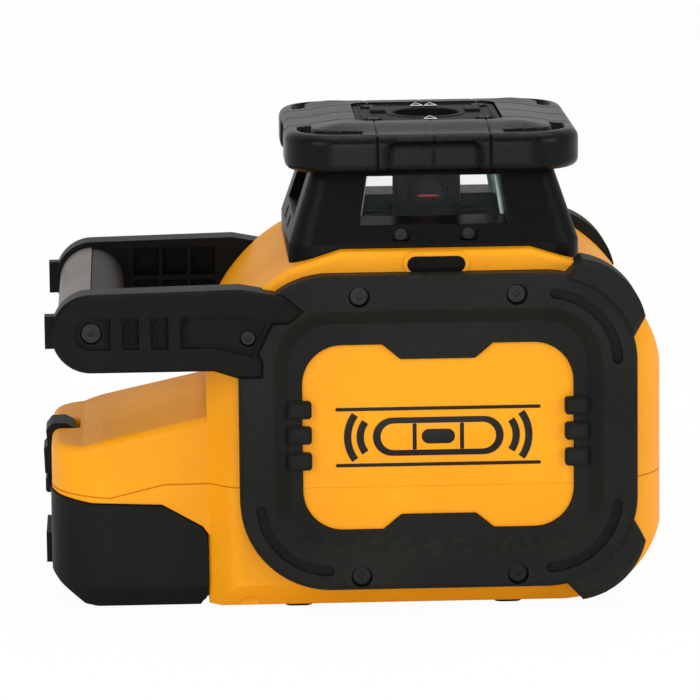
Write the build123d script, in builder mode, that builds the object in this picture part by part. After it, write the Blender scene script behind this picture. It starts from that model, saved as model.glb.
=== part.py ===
from build123d import *
import os
from math import cos, radians, sin

# Rotary laser level. Millimetres, +Z up, origin on the rotor axis in the plane of the feet.
# -X is the operator's end with handle, keypad and battery; -Y is the right-hand side.

# ---------------------------------------------------------------- housing
BODY_FRONT = -102.2
BODY_REAR = 102.4
BODY_HALF = 73.0
BODY_BASE = 2.8
SKIRT_TOP = 13.0
SKIRT_IN = 7.0
BODY_TOP = 162.6
TOP_FLAT = 42.0
SHOULDER_X = 65.3
SHOULDER_Z = 155.2
REAR_CORNER_R = BODY_REAR - SHOULDER_X
FLARE_R = 9.0
RIDGE_R = 3.0
WALL = 3.2
PARTING_Z = 57.7
GROOVE_DEPTH = 0.7
GROOVE_HEIGHT = 0.5
DECK_HOLE_R = 22.0
TONGUE_FRONT = -171.8
TONGUE_HALF = 61.0
TONGUE_CORNER_R = 22.5
TONGUE_TOP = 74.5
TONGUE_EDGE_R = 4.0
TONGUE_WALL = 3.0

# ---------------------------------------------------------------- side bumpers and inset panel
BUMPER_HALF = 88.2
BUMPER_LOW = 12.3
BUMPER_HIGH = 153.4
BUMPER_R = 40.5
BUMPER_Y = 84.5
BAND_WIDTH = 15.4
BEVEL_WIDTH = 6.6
INNER_BAND_Y = 79.0
PANEL_Y = 77.4
PANEL_HALF = 60.4
PANEL_LOW = 38.4
PANEL_HIGH = 122.0
PANEL_R = 18.0
PANEL_GAP = 0.25
TOOTH_ROWS = (70.1, 81.8, 93.2)
TOOTH_X = 61.4
TOOTH_LENGTH = 10.6
TOOTH_HEIGHT = 7.8
TOOTH_STAND = 2.9
BUMPER_SCREW_X = 34.75
BUMPER_SCREW_Z = (18.3, 144.1)
BUMPER_POCKET_R = 4.7
BUMPER_POCKET_DEPTH = 6.5
BUMPER_HOLE_R = 2.1
RUNNEL_R = 31.6
RUNNEL_WIDTH = 4.6
RUNNEL_DEPTH = 3.2
CORNER_PAD_Y = 86.0
CORNER_PAD_CHAMFER = 2.2

# ---------------------------------------------------------------- receiver windows
RECEIVER_Z = 156.4
RECEIVER_LENGTH = 25.8
RECEIVER_HEIGHT = 7.4
RECEIVER_DEPTH = 1.6
HOOD_Z = 157.0
HOOD_LENGTH = 29.6
HOOD_HEIGHT = 10.4

# ---------------------------------------------------------------- handle
GRIP_X = -152.7
GRIP_Z = 129.85
GRIP_R = 15.2
ARM_R = 17.45
ARM_OUT = 86.4
ARM_IN = 69.0
GRIP_HALF = 69.0
CORE_R = 10.6
ARM_CHAMFER = 1.4
FIELD_HALF = 7.1
FIELD_DEPTH = 2.6
BAR_SPOTS = (-141.6, -129.2, -116.2)
BAR_WIDTH = 5.2
ARM_SCREW_DEPTH = 7.0

# ---------------------------------------------------------------- lantern head
CAGE_FOOT = 64.5
CAGE_HEAD = 53.8
CAGE_SPRING_Z = 164.0
SILL_Z = 172.6
LINTEL_Z = 193.5
CAGE_TOP = 196.0
GLASS_FOOT = 35.6
GLASS_HEAD = 31.6
OPEN_FOOT = 33.2
OPEN_HEAD = 29.7
CAP_HALF = 65.5
CAP_LOW = 196.0
CAP_HIGH = 214.0
CAP_R = 24.0
CAP_SEAM_X = 25.1
CAP_TOP_EDGE_R = 4.6
CAP_LOW_EDGE_R = 3.4
SCOOP_HALF = 22.0
SCOOP_DEPTH = 3.2
SCOOP_R = 6.0
SCOOP_LIP = 1.2
DOME_RISE = 2.0
DOME_ROOT = 3.2
DOME_SIZE = 25.0
DOME_SPOT = (42.6, -42.6)
CAP_OPENING = 66.0
CAP_WELL = 57.0
CAP_WELL_DEPTH = 4.5
PLATE_T = 2.6
PLATE_HOLE_R = 15.0
PLATE_Z = CAP_HIGH - CAP_WELL_DEPTH
PLATE_TOP = PLATE_Z + PLATE_T
CAP_SCREW_GRID = (50.0, 54.0, 2, 2)
CAP_SCREW_R = 2.6
CAP_SHANK_R = 1.4

# ---------------------------------------------------------------- rotor and gimbal
PIVOT_Z = 118.0
ROTOR_R = 15.4
APERTURE_Z = 178.6
APERTURE_R = 7.6
POST_R = 8.0
SLEEVE_R = 13.0
MODULE = 1.0
ROTOR_TEETH = 40
PINION_TEETH = 12

# ---------------------------------------------------------------- mounts
THREAD_R = 6.75
INSERT_R = 12.0
REAR_MOUNT_Z = 82.0
TRIPOD_DEPTH = 17.0
TRIPOD_FLANGE_R = 17.0
TRIPOD_LIP = 0.4
REAR_DEPTH = 12.0
REAR_FLANGE_R = 16.0
REAR_LIP = 0.8

# ---------------------------------------------------------------- battery bay
COVER_HALF = 62.0
COVER_FRONT = -172.4
COVER_REAR = -102.6
COVER_WALL = 2.5
COVER_PIVOT = (-106.0, 5.5)
LATCH_PIVOT = (-164.5, 72.0)
PACK_HALF = 37.5
PACK_FRONT = -161.5
PACK_REAR = -53.1
PACK_LOW = 10.0
PACK_TOP = 43.0
PACK_X = (PACK_FRONT + PACK_REAR) / 2
RELEASE_Z = 30.0
RAIL_X = -104.0
TERMINAL_X = -60.0
PIN_R = 1.5

# ---------------------------------------------------------------- keypad
KEYPAD_TILT = 16.0
KEYPAD_HALF = 45.0
KEYPAD_HEIGHT = 33.0
KEYPAD_PLANE = Plane(
    origin=(-93.6, 0, 111.5),
    x_dir=(0, -1, 0),
    z_dir=(-cos(radians(KEYPAD_TILT)), 0, sin(radians(KEYPAD_TILT))),
)
KEY_TRAVEL = 0.7
KEYS = {
    "key_power": (-34.0, 0.0, 6.0),
    "key_speed": (25.0, 7.6, 4.4),
    "key_scan": (25.0, -7.6, 4.4),
    "key_up": (38.0, 7.6, 4.4),
    "key_down": (38.0, -7.6, 4.4),
}
KEY_AXIS = Axis((0, 0, 0), (-cos(radians(KEYPAD_TILT)), 0, sin(radians(KEYPAD_TILT))))
HOUSING_SCREWS = [(x, y) for x in (-80.0, 72.0) for y in (-52.0, 52.0)]
LUG_Y = 43.0

os.makedirs("parts", exist_ok=True)


def top_profile(inset=0.0):
    """Side outline (XZ) of the main housing: upright front, shouldered top, swept rear base."""
    with BuildSketch(Plane.XZ) as outline:
        with BuildLine():
            Line((BODY_FRONT, BODY_BASE), (BODY_FRONT, 104))
            ThreePointArc((BODY_FRONT, 104), (-88, 134.8), (-SHOULDER_X, SHOULDER_Z))
            Line((-SHOULDER_X, SHOULDER_Z), (-TOP_FLAT, BODY_TOP))
            Line((-TOP_FLAT, BODY_TOP), (TOP_FLAT, BODY_TOP))
            Line((TOP_FLAT, BODY_TOP), (SHOULDER_X, SHOULDER_Z))
            ThreePointArc((SHOULDER_X, SHOULDER_Z), (90.4, 134.0), (BODY_REAR, 104))
            Line((BODY_REAR, 104), (BODY_REAR, 34))
            ThreePointArc((BODY_REAR, 34), (82.5, 11.5), (47, BODY_BASE))
            Line((47, BODY_BASE), (BODY_FRONT, BODY_BASE))
        make_face()
        if inset:
            offset(amount=-inset, kind=Kind.INTERSECTION)
    return outline.sketch


def skirt_profile(inset=0.0):
    """End outline (YZ) of the main housing: upright sides that slope in below the crease."""
    with BuildSketch(Plane.YZ) as outline:
        with BuildLine():
            Polyline(
                (-BODY_HALF + SKIRT_IN, BODY_BASE),
                (BODY_HALF - SKIRT_IN, BODY_BASE),
                (BODY_HALF, SKIRT_TOP),
                (BODY_HALF, 2 * BODY_TOP),
                (-BODY_HALF, 2 * BODY_TOP),
                (-BODY_HALF, SKIRT_TOP),
                close=True,
            )
        make_face()
        if inset:
            offset(amount=-inset, kind=Kind.INTERSECTION)
    return outline.sketch


def plan_profile(inset=0.0):
    """Plan outline of the main housing: flared front corners, broad rear corners."""
    flare_x = BODY_FRONT + 11.7
    with BuildSketch(Plane.XY.offset(BODY_BASE)) as outline:
        with BuildLine():
            Polyline(
                (BODY_FRONT, -TONGUE_HALF + 1),
                (flare_x, -BODY_HALF),
                (BODY_REAR, -BODY_HALF),
                (BODY_REAR, BODY_HALF),
                (flare_x, BODY_HALF),
                (BODY_FRONT, TONGUE_HALF - 1),
                close=True,
            )
        make_face()
        corners = outline.vertices().group_by(Axis.X)
        fillet(corners[-1], REAR_CORNER_R)
        fillet(outline.vertices().sort_by(Axis.X)[2:4], FLARE_R)
        if inset:
            offset(amount=-inset, kind=Kind.INTERSECTION)
    return outline.sketch


def main_block(inset=0.0):
    """Main housing envelope: upright walls above the skirt crease, sloping in below it."""
    with BuildPart() as block:
        extrude(plan_profile(inset), amount=BODY_TOP)
        extrude(top_profile(inset), amount=2 * BODY_HALF, both=True, mode=Mode.INTERSECT)
        extrude(skirt_profile(inset), amount=2 * BODY_REAR, both=True, mode=Mode.INTERSECT)
    return block


def tongue_profile(inset=0.0):
    """Side outline (XZ) of the tongue over the battery bay; its underside meets the cover."""
    with BuildSketch(Plane.XZ) as outline:
        with BuildLine():
            Polyline(
                (TONGUE_FRONT, 53.2),
                (-168.5, 51.9),
                (-154.3, 49.4),
                (-122.7, 48.1),
                (-104.7, 37.9),
                (-102.0, 34.2),
                (-92.0, 34.2),
                (-92.0, 89.6),
                (-149.2, 77.1),
                (-157.5, TONGUE_TOP),
                (TONGUE_FRONT, TONGUE_TOP),
                close=True,
            )
        make_face()
        if inset:
            offset(amount=-inset, kind=Kind.INTERSECTION)
    return outline.sketch


def tongue_plan(inset=0.0):
    """Plan outline of the tongue with its two rounded front corners."""
    with BuildSketch(Plane.XY) as outline:
        with BuildLine():
            Polyline(
                (TONGUE_FRONT, -TONGUE_HALF),
                (-92.0, -TONGUE_HALF),
                (-92.0, TONGUE_HALF),
                (TONGUE_FRONT, TONGUE_HALF),
                close=True,
            )
        make_face()
        fillet(outline.vertices().group_by(Axis.X)[0], TONGUE_CORNER_R)
        if inset:
            offset(amount=-inset, kind=Kind.INTERSECTION)
    return outline.sketch


def tongue_block(inset=0.0):
    """Tongue envelope."""
    with BuildPart() as block:
        extrude(tongue_profile(inset), amount=2 * TONGUE_HALF, both=True)
        extrude(tongue_plan(inset), amount=BODY_TOP, mode=Mode.INTERSECT)
    return block


def parting_band(low, high):
    """Slab (XZ outline pushed through Y) between two heights above the housing's parting line."""
    line = (
        (-180.0, 56.2),
        (-166.0, 53.6),
        (-146.0, 51.6),
        (-121.7, PARTING_Z - 0.3),
        (-88.0, PARTING_Z),
        (120.0, PARTING_Z),
    )
    with BuildPart() as band:
        with BuildSketch(Plane.XZ):
            with BuildLine():
                Polyline(
                    *[(x, z + low) for x, z in line],
                    *[(x, z + high) for x, z in reversed(line)],
                    close=True,
                )
            make_face()
        extrude(amount=120, both=True)
    return band


def panel_outline(grow=0.0):
    """Outline (XZ) of the inset side panel: rounded corners, notched at the middle top and bottom."""
    with BuildSketch(Plane.XZ) as outline:
        with BuildLine():
            Polyline(
                (-PANEL_HALF, PANEL_LOW),
                (-24.5, PANEL_LOW),
                (-16.5, PANEL_LOW + 6.6),
                (16.5, PANEL_LOW + 6.6),
                (24.5, PANEL_LOW),
                (PANEL_HALF, PANEL_LOW),
                (PANEL_HALF, PANEL_HIGH),
                (24.5, PANEL_HIGH),
                (16.5, PANEL_HIGH - 6.7),
                (-16.5, PANEL_HIGH - 6.7),
                (-24.5, PANEL_HIGH),
                (-PANEL_HALF, PANEL_HIGH),
                close=True,
            )
        make_face()
        ends = outline.vertices().group_by(Axis.X)
        fillet(ends[0] + ends[-1], PANEL_R)
        if grow:
            offset(amount=grow, kind=Kind.ARC)
    return outline.sketch


def tooth_outline():
    """Three teeth on each side of the bumper's opening, lapping over the inset panel."""
    with BuildSketch(Plane.XZ) as outline:
        for side in (-1, 1):
            for row in TOOTH_ROWS:
                with Locations((side * TOOTH_X, row)):
                    RectangleRounded(TOOTH_LENGTH, TOOTH_HEIGHT, 1.6)
    return outline.sketch


def mirrored(builder):
    """The left-hand (+Y) twin of a right-hand piece."""
    with BuildPart() as twin:
        mirror(builder.part, about=Plane.XZ)
    return twin


def arm_outline(grow=0.0):
    """Outline (XZ) of a handle arm: round grip end, two prongs over the bumper."""
    with BuildSketch(Plane.XZ) as outline:
        with BuildLine():
            Line((GRIP_X, GRIP_Z + ARM_R), (-87.0, 148.6))
            Polyline(
                (-87.0, 148.6),
                (-68.0, 145.0),
                (-59.6, 138.0),
                (-66.0, 132.9),
                (-73.0, 132.8),
                (-79.5, 119.5),
                (-77.6, 115.8),
                (-77.8, 109.0),
                (-88.6, 109.0),
                (-99.1, GRIP_Z - ARM_R),
            )
            Line((-99.1, GRIP_Z - ARM_R), (GRIP_X, GRIP_Z - ARM_R))
            ThreePointArc(
                (GRIP_X, GRIP_Z - ARM_R),
                (GRIP_X - ARM_R, GRIP_Z),
                (GRIP_X, GRIP_Z + ARM_R),
            )
        make_face()
        if grow:
            offset(amount=grow, kind=Kind.ARC)
    return outline.sketch


# ================================================================ housings
body_outer = main_block()
body_inner = main_block(WALL)
tongue_outer = tongue_block()

with BuildPart() as keypad_keepout:
    with BuildSketch(KEYPAD_PLANE.offset(-3.0)):
        Rectangle(2 * KEYPAD_HALF + 6, KEYPAD_HEIGHT + 6)
    extrude(amount=30)

with BuildPart() as keypad_recess:
    with BuildSketch(KEYPAD_PLANE):
        RectangleRounded(2 * KEYPAD_HALF + 0.6, KEYPAD_HEIGHT + 0.6, 3.3)
    extrude(amount=30, taper=-8)

with BuildPart() as envelope:
    add(body_outer.part)
    ridge = envelope.edges().filter_by(lambda e: e.center().Z > 60 and abs(e.center().Y) > 45)
    ridge = ridge.filter_by(lambda e: e.center().X > BODY_FRONT + 1)
    ridge = ridge.filter_by(lambda e: abs(e.tangent_at(0.5).Z) < 0.98)
    fillet(ridge, RIDGE_R)
    add(tongue_outer.part)
    top_edges = envelope.edges().filter_by(
        lambda e: e.center().X < -103 and 73 < e.center().Z < 90 and abs(e.center().Y) > 40
    )
    fillet(top_edges, TONGUE_EDGE_R)
    for side in (1, -1):
        with BuildSketch(Plane.XZ.offset(side * BODY_HALF)):
            add(panel_outline(-PANEL_GAP).moved(Location((0, -side * BODY_HALF, 0))))
        extrude(amount=side * (PANEL_Y - BODY_HALF))

with BuildPart() as bay_hollow:
    with BuildSketch(Plane.XZ):
        with BuildLine():
            Polyline(
                (TONGUE_FRONT + TONGUE_WALL, 30.0),
                (-95.0, 30.0),
                (-95.0, 85.6),
                (-148.6, 73.9),
                (-157.0, 71.3),
                (TONGUE_FRONT + TONGUE_WALL, 71.3),
                close=True,
            )
        make_face()
    extrude(amount=TONGUE_HALF, both=True)
    extrude(tongue_plan(TONGUE_WALL), amount=BODY_TOP, mode=Mode.INTERSECT)

with BuildPart() as main_hollow:
    add(body_inner.part)
    add(keypad_keepout.part, mode=Mode.SUBTRACT)

with BuildPart() as latch_notch:
    with Locations((-166.2, 0, 71.4)):
        Box(14.6, 25.0, 12.0)
    notch_edges = latch_notch.edges().filter_by(Axis.Z).group_by(Axis.X)[-1]
    fillet(notch_edges, 2.0)

with BuildPart() as parting_groove:
    add(parting_band(-GROOVE_HEIGHT, 0).part)
    add(main_block(GROOVE_DEPTH).part, mode=Mode.SUBTRACT)
    add(tongue_block(GROOVE_DEPTH).part, mode=Mode.SUBTRACT)
    extrude(panel_outline(), amount=BUMPER_HALF + 40, both=True, mode=Mode.SUBTRACT)

with BuildPart() as upper_housing:
    add(envelope.part)
    add(parting_band(0, 130).part, mode=Mode.INTERSECT)
    add(main_hollow.part, mode=Mode.SUBTRACT)
    add(bay_hollow.part, mode=Mode.SUBTRACT)
    with BuildSketch(Plane.XY.offset(66.0)):
        with Locations((-162.0, 0)):
            Rectangle(16.0, 31.0)
    extrude(amount=7.6)
    add(latch_notch.part, mode=Mode.SUBTRACT)
    with BuildSketch(Plane.XZ.offset(15.2)):
        with Locations(LATCH_PIVOT):
            Circle(PIN_R)
    extrude(amount=-30.4, mode=Mode.SUBTRACT)
    with BuildSketch(Plane.XY.offset(BODY_TOP - 8)):
        Circle(DECK_HOLE_R)
    extrude(amount=20, mode=Mode.SUBTRACT)
    add(keypad_recess.part, mode=Mode.SUBTRACT)
    for side in (1, -1):
        with BuildSketch(Plane.XZ.offset(side * (BODY_HALF - 8))):
            with Locations((0, HOOD_Z)):
                SlotOverall(HOOD_LENGTH, HOOD_HEIGHT)
        extrude(amount=side * 8.6)
        with BuildSketch(Plane.XZ.offset(side * (BODY_HALF - RECEIVER_DEPTH))):
            with Locations((0, RECEIVER_Z)):
                SlotOverall(RECEIVER_LENGTH, RECEIVER_HEIGHT)
        extrude(amount=side * 4, mode=Mode.SUBTRACT)
    with BuildSketch(Plane.YZ.offset(BODY_REAR - 14.0)):
        with Locations((0, REAR_MOUNT_Z)):
            Circle(17.0)
    extrude(amount=13.9)
    with BuildSketch(Plane.YZ.offset(BODY_REAR + 1)):
        with Locations((0, REAR_MOUNT_Z)):
            Circle(INSERT_R)
    extrude(amount=-REAR_DEPTH - 1, mode=Mode.SUBTRACT)

with BuildPart() as lower_housing:
    add(envelope.part)
    add(parting_band(-70, 0).part, mode=Mode.INTERSECT)
    add(main_hollow.part, mode=Mode.SUBTRACT)
    add(bay_hollow.part, mode=Mode.SUBTRACT)
    add(parting_groove.part, mode=Mode.SUBTRACT)
    with BuildSketch(Plane.XY.offset(TRIPOD_LIP)):
        Circle(TRIPOD_FLANGE_R + 1)
    extrude(amount=TRIPOD_DEPTH + 4)
    with BuildSketch(Plane.XY):
        Circle(INSERT_R)
    extrude(amount=TRIPOD_DEPTH, mode=Mode.SUBTRACT)
    with BuildSketch(Plane.YZ.offset(BODY_FRONT)):
        with Locations((0, 30.5)):
            Rectangle(2 * PACK_HALF + 7, 54.0)
    extrude(amount=52.2)
    with BuildSketch(Plane.YZ.offset(BODY_FRONT - 1)):
        with Locations((0, 31.0)):
            Rectangle(2 * PACK_HALF + 3, 50.0)
    extrude(amount=51.2, mode=Mode.SUBTRACT)
    for x, y in HOUSING_SCREWS:
        with BuildSketch(Plane.XY.offset(BODY_BASE)):
            with Locations((x, y)):
                Circle(5.4)
        extrude(amount=PARTING_Z - BODY_BASE - 0.2)
        with BuildSketch(Plane.XY):
            with Locations((x, y)):
                Circle(3.6)
        extrude(amount=9.0, mode=Mode.SUBTRACT)
        with BuildSketch(Plane.XY):
            with Locations((x, y)):
                Circle(1.7)
        extrude(amount=30.0, mode=Mode.SUBTRACT)
    for y in (-LUG_Y, LUG_Y):
        with Locations((-102.6, y, 5.5)):
            Box(12.8, 6.0, 5.4)
        with BuildSketch(Plane.XZ.offset(-y + 5)):
            with Locations(COVER_PIVOT):
                Circle(PIN_R)
        extrude(amount=-10, mode=Mode.SUBTRACT)
    for side in (1, -1):
        with BuildSketch(Plane.XZ.offset(side * 66.4)):
            with Locations((-84.3, BODY_BASE)):
                Circle(4.65)
        extrude(amount=side * 12, mode=Mode.SUBTRACT)


# ================================================================ side bumpers
with BuildPart() as arm_keepout:
    extrude(arm_outline(0.3).moved(Location((0, -60.0, 0))), amount=40)

with BuildPart() as bumper_blank:
    with BuildSketch(Plane.XZ.offset(BODY_HALF)):
        with Locations((0, (BUMPER_LOW + BUMPER_HIGH) / 2)):
            RectangleRounded(2 * BUMPER_HALF, BUMPER_HIGH - BUMPER_LOW, BUMPER_R)
    extrude(amount=BUMPER_Y - BODY_HALF)
    rim = bumper_blank.faces().sort_by(Axis.Y)[0].edges()
    fillet(rim, 2.4)
    for depth, width in ((BUMPER_Y, BAND_WIDTH), (INNER_BAND_Y, BAND_WIDTH + BEVEL_WIDTH)):
        with BuildSketch(Plane.XZ.offset(depth)):
            with Locations((0, (BUMPER_LOW + BUMPER_HIGH) / 2)):
                RectangleRounded(
                    2 * (BUMPER_HALF - width),
                    BUMPER_HIGH - BUMPER_LOW - 2 * width,
                    BUMPER_R - width,
                )
    loft(ruled=True, mode=Mode.SUBTRACT)

PAD_REACH = ((54.6, 37.0), (63.6, 46.6), (84.6, 34.8), (91.6, 20.4), (85.3, 9.2), (74.4, 27.4))

with BuildPart() as corner_pads:
    for sign, centre_z in ((1, BUMPER_HIGH - BUMPER_R), (-1, BUMPER_LOW + BUMPER_R)):
        spots = [(x, centre_z + sign * rise) for x, rise in PAD_REACH]
        with BuildSketch(Plane.XZ.offset(66.0)):
            with BuildLine():
                Line(spots[0], spots[1])
                ThreePointArc(spots[1], spots[2], spots[3])
                Line(spots[3], spots[4])
                ThreePointArc(spots[4], spots[5], spots[0])
            make_face()
        extrude(amount=CORNER_PAD_Y - 66.0)
    chamfer(corner_pads.faces().group_by(Axis.Y)[0].edges(), CORNER_PAD_CHAMFER)

with BuildPart() as bumper_right:
    add(bumper_blank.part)
    add(corner_pads.part)
    add(body_outer.part, mode=Mode.SUBTRACT)
    extrude(panel_outline().moved(Location((0, -BODY_HALF + 2, 0))), amount=20, mode=Mode.SUBTRACT)
    extrude(tooth_outline().moved(Location((0, -PANEL_Y - 0.1, 0))), amount=TOOTH_STAND + 0.1)
    with BuildSketch(Plane.XZ.offset(BODY_HALF - 1)):
        with Locations((0, HOOD_Z)):
            SlotOverall(HOOD_LENGTH + 0.6, HOOD_HEIGHT + 0.6)
    extrude(amount=2.0, mode=Mode.SUBTRACT)
    add(arm_keepout.part, mode=Mode.SUBTRACT)
    for x in (-BUMPER_SCREW_X, BUMPER_SCREW_X):
        for z in BUMPER_SCREW_Z:
            with BuildSketch(Plane.XZ.offset(BUMPER_Y + 1)):
                with Locations((x, z)):
                    Circle(BUMPER_POCKET_R)
            extrude(amount=-BUMPER_POCKET_DEPTH - 1, mode=Mode.SUBTRACT)
            with BuildSketch(Plane.XZ.offset(BUMPER_Y + 1)):
                with Locations((x, z)):
                    Circle(BUMPER_HOLE_R)
            extrude(amount=-14, mode=Mode.SUBTRACT)
    for centre, start in (
        ((BUMPER_HALF - BUMPER_R, BUMPER_HIGH - BUMPER_R), 3),
        ((BUMPER_HALF - BUMPER_R, BUMPER_LOW + BUMPER_R), 273),
        ((BUMPER_R - BUMPER_HALF, BUMPER_LOW + BUMPER_R), 187),
    ):
        with BuildLine(mode=Mode.PRIVATE) as slot_line:
            CenterArc(centre, RUNNEL_R, start, 80)
        with BuildSketch(Plane.XZ.offset(BUMPER_Y + 0.5)):
            SlotArc(arc=slot_line.edges()[0], height=RUNNEL_WIDTH)
        extrude(amount=-RUNNEL_DEPTH - 0.5, mode=Mode.SUBTRACT)

bumper_left = mirrored(bumper_right)


def side_bolt(side, x, z, seat, head_r, head_h, shank_r, shank_l):
    """Cap screw along Y: head outwards on the given side (1 is -Y), hex socket in the head."""
    with BuildPart() as bolt:
        with BuildSketch(Plane.XZ.offset(side * seat)):
            with Locations((x, z)):
                Circle(head_r)
        extrude(amount=side * head_h)
        with BuildSketch(Plane.XZ.offset(side * seat)):
            with Locations((x, z)):
                Circle(shank_r)
        extrude(amount=-side * shank_l)
        with BuildSketch(Plane.XZ.offset(side * (seat + 1.0))):
            with Locations((x, z)):
                RegularPolygon(1.7, 6)
        extrude(amount=side * head_h, mode=Mode.SUBTRACT)
    return bolt


with BuildPart() as bumper_screws:
    for side in (1, -1):
        for x in (-BUMPER_SCREW_X, BUMPER_SCREW_X):
            for z in BUMPER_SCREW_Z:
                add(side_bolt(side, x, z, BUMPER_Y - BUMPER_POCKET_DEPTH, 3.9, 3.0, BUMPER_HOLE_R - 0.1, 4.6).part)

# ================================================================ handle
ARM_SCREWS = ((GRIP_X, GRIP_Z, 4.2, 1.65, 10.0), (-83.8, 126.6, 3.1, 1.5, 4.6))

with BuildPart() as handle_arm_right:
    extrude(arm_outline().moved(Location((0, -ARM_IN, 0))), amount=ARM_OUT - ARM_IN)
    chamfer(handle_arm_right.faces().sort_by(Axis.Y)[0].edges(), ARM_CHAMFER)
    add(body_outer.part, mode=Mode.SUBTRACT)
    with BuildSketch(Plane.XZ.offset(ARM_OUT)):
        with BuildLine():
            Polyline(
                (GRIP_X, GRIP_Z + FIELD_HALF),
                (-88.0, GRIP_Z + FIELD_HALF),
                (-75.6, 133.6),
                (-81.6, 118.6),
                (-99.0, GRIP_Z - FIELD_HALF),
                (GRIP_X, GRIP_Z - FIELD_HALF),
            )
            ThreePointArc(
                (GRIP_X, GRIP_Z - FIELD_HALF),
                (GRIP_X - FIELD_HALF, GRIP_Z),
                (GRIP_X, GRIP_Z + FIELD_HALF),
            )
        make_face()
        for x in BAR_SPOTS:
            with Locations((x, GRIP_Z)):
                Rectangle(BAR_WIDTH, 2 * FIELD_HALF + 2, mode=Mode.SUBTRACT)
    extrude(amount=-FIELD_DEPTH, mode=Mode.SUBTRACT)
    with BuildSketch(Plane.XZ.offset(ARM_IN)):
        for column in range(3):
            for row in (-1, 1):
                with Locations((-127.5 + 13.2 * column, GRIP_Z + 7.6 * row)):
                    Rectangle(11.4, 13.2)
    extrude(amount=11.0, mode=Mode.SUBTRACT)
    with Locations((GRIP_X - ARM_R - 0.6, -(ARM_OUT - 9.0), GRIP_Z + 0.4)):
        Box(4.6, 8.0, 14.4)
    for x, z, head, shank, root in ARM_SCREWS:
        with BuildSketch(Plane.XZ.offset(ARM_OUT)):
            with Locations((x, z)):
                Circle(head + 0.6)
        extrude(amount=-ARM_SCREW_DEPTH, mode=Mode.SUBTRACT)
        with BuildSketch(Plane.XZ.offset(ARM_OUT)):
            with Locations((x, z)):
                Circle(shank + 0.3)
        extrude(amount=-24.0, mode=Mode.SUBTRACT)

handle_arm_left = mirrored(handle_arm_right)

with BuildPart() as grip_core:
    with BuildSketch(Plane.XZ.offset(GRIP_HALF)):
        with Locations((GRIP_X, GRIP_Z)):
            Circle(CORE_R)
            Circle(1.75, mode=Mode.SUBTRACT)
    extrude(amount=-2 * GRIP_HALF)


def grip_shell(sign, radius):
    """Half sleeve of the grip on its -X (sign -1) or +X side, clear of the other half at the seam."""
    with BuildPart() as shell:
        with BuildSketch(Plane.XZ.offset(GRIP_HALF - 0.2)):
            with Locations((GRIP_X, GRIP_Z)):
                Circle(radius)
        extrude(amount=-2 * (GRIP_HALF - 0.2))
        fillet(shell.edges().filter_by(GeomType.CIRCLE), 1.6)
        with BuildSketch(Plane.XZ.offset(GRIP_HALF)):
            with Locations((GRIP_X, GRIP_Z)):
                Circle(CORE_R + 0.05)
        extrude(amount=-2 * GRIP_HALF, mode=Mode.SUBTRACT)
        with Locations((GRIP_X + sign * 20.15, 0, GRIP_Z)):
            Box(40.0, 2 * GRIP_HALF, 60.0, mode=Mode.INTERSECT)
    return shell


grip_outer_shell = grip_shell(-1, GRIP_R)
grip_inner_shell = grip_shell(1, GRIP_R - 0.7)

with BuildPart() as handle_screws:
    for side in (1, -1):
        for x, z, head, shank, root in ARM_SCREWS:
            add(side_bolt(side, x, z, ARM_OUT - ARM_SCREW_DEPTH, head, 3.2, shank, root).part)


# ================================================================ lantern head
def frustum(foot, head, low, high, corner_foot, corner_head):
    """Four-sided leaning tower with rounded corners, lofted between two heights."""
    with BuildPart() as tower:
        with BuildSketch(Plane.XY.offset(low)):
            RectangleRounded(2 * foot, 2 * foot, corner_foot)
        with BuildSketch(Plane.XY.offset(high)):
            RectangleRounded(2 * head, 2 * head, corner_head)
        loft(ruled=True)
    return tower


SILL_SCREWS = [(turn, x) for turn in range(4) for x in (-15.0, 15.0)]
SILL_SCREW_Z = 168.2
SILL_SCREW_R = 2.6
SILL_POCKET_DEPTH = 6.2

with BuildPart() as cage_frame:
    with BuildSketch(Plane.XY.offset(CAGE_SPRING_Z - 16)):
        RectangleRounded(2 * CAGE_FOOT, 2 * CAGE_FOOT, 12.0)
    extrude(amount=16)
    add(frustum(CAGE_FOOT, CAGE_HEAD, CAGE_SPRING_Z, CAGE_TOP, 12.0, 9.0).part)
    add(frustum(GLASS_FOOT, GLASS_HEAD, CAGE_SPRING_Z + 1.6, CAGE_TOP - 1.2, 2.0, 2.0).part, mode=Mode.SUBTRACT)
    with BuildSketch(Plane.XY.offset(CAGE_SPRING_Z - 20)):
        RectangleRounded(58.0, 58.0, 6.0)
    extrude(amount=60, mode=Mode.SUBTRACT)
    for plane in (Plane.XZ, Plane.YZ):
        with BuildSketch(plane):
            with BuildLine():
                Polyline(
                    (-OPEN_FOOT, SILL_Z),
                    (OPEN_FOOT, SILL_Z),
                    (OPEN_HEAD, LINTEL_Z),
                    (-OPEN_HEAD, LINTEL_Z),
                    close=True,
                )
            make_face()
        extrude(amount=100, both=True, mode=Mode.SUBTRACT)
    extrude(top_profile(), amount=100, both=True, mode=Mode.SUBTRACT)
    for turn, x in SILL_SCREWS:
        with BuildSketch(Plane.XZ.rotated((0, 0, 90 * turn)).offset(CAGE_FOOT + 1)):
            with Locations((x, SILL_SCREW_Z)):
                RectangleRounded(8.6, 5.6, 2.0)
        extrude(amount=-SILL_POCKET_DEPTH - 1, mode=Mode.SUBTRACT)

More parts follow.
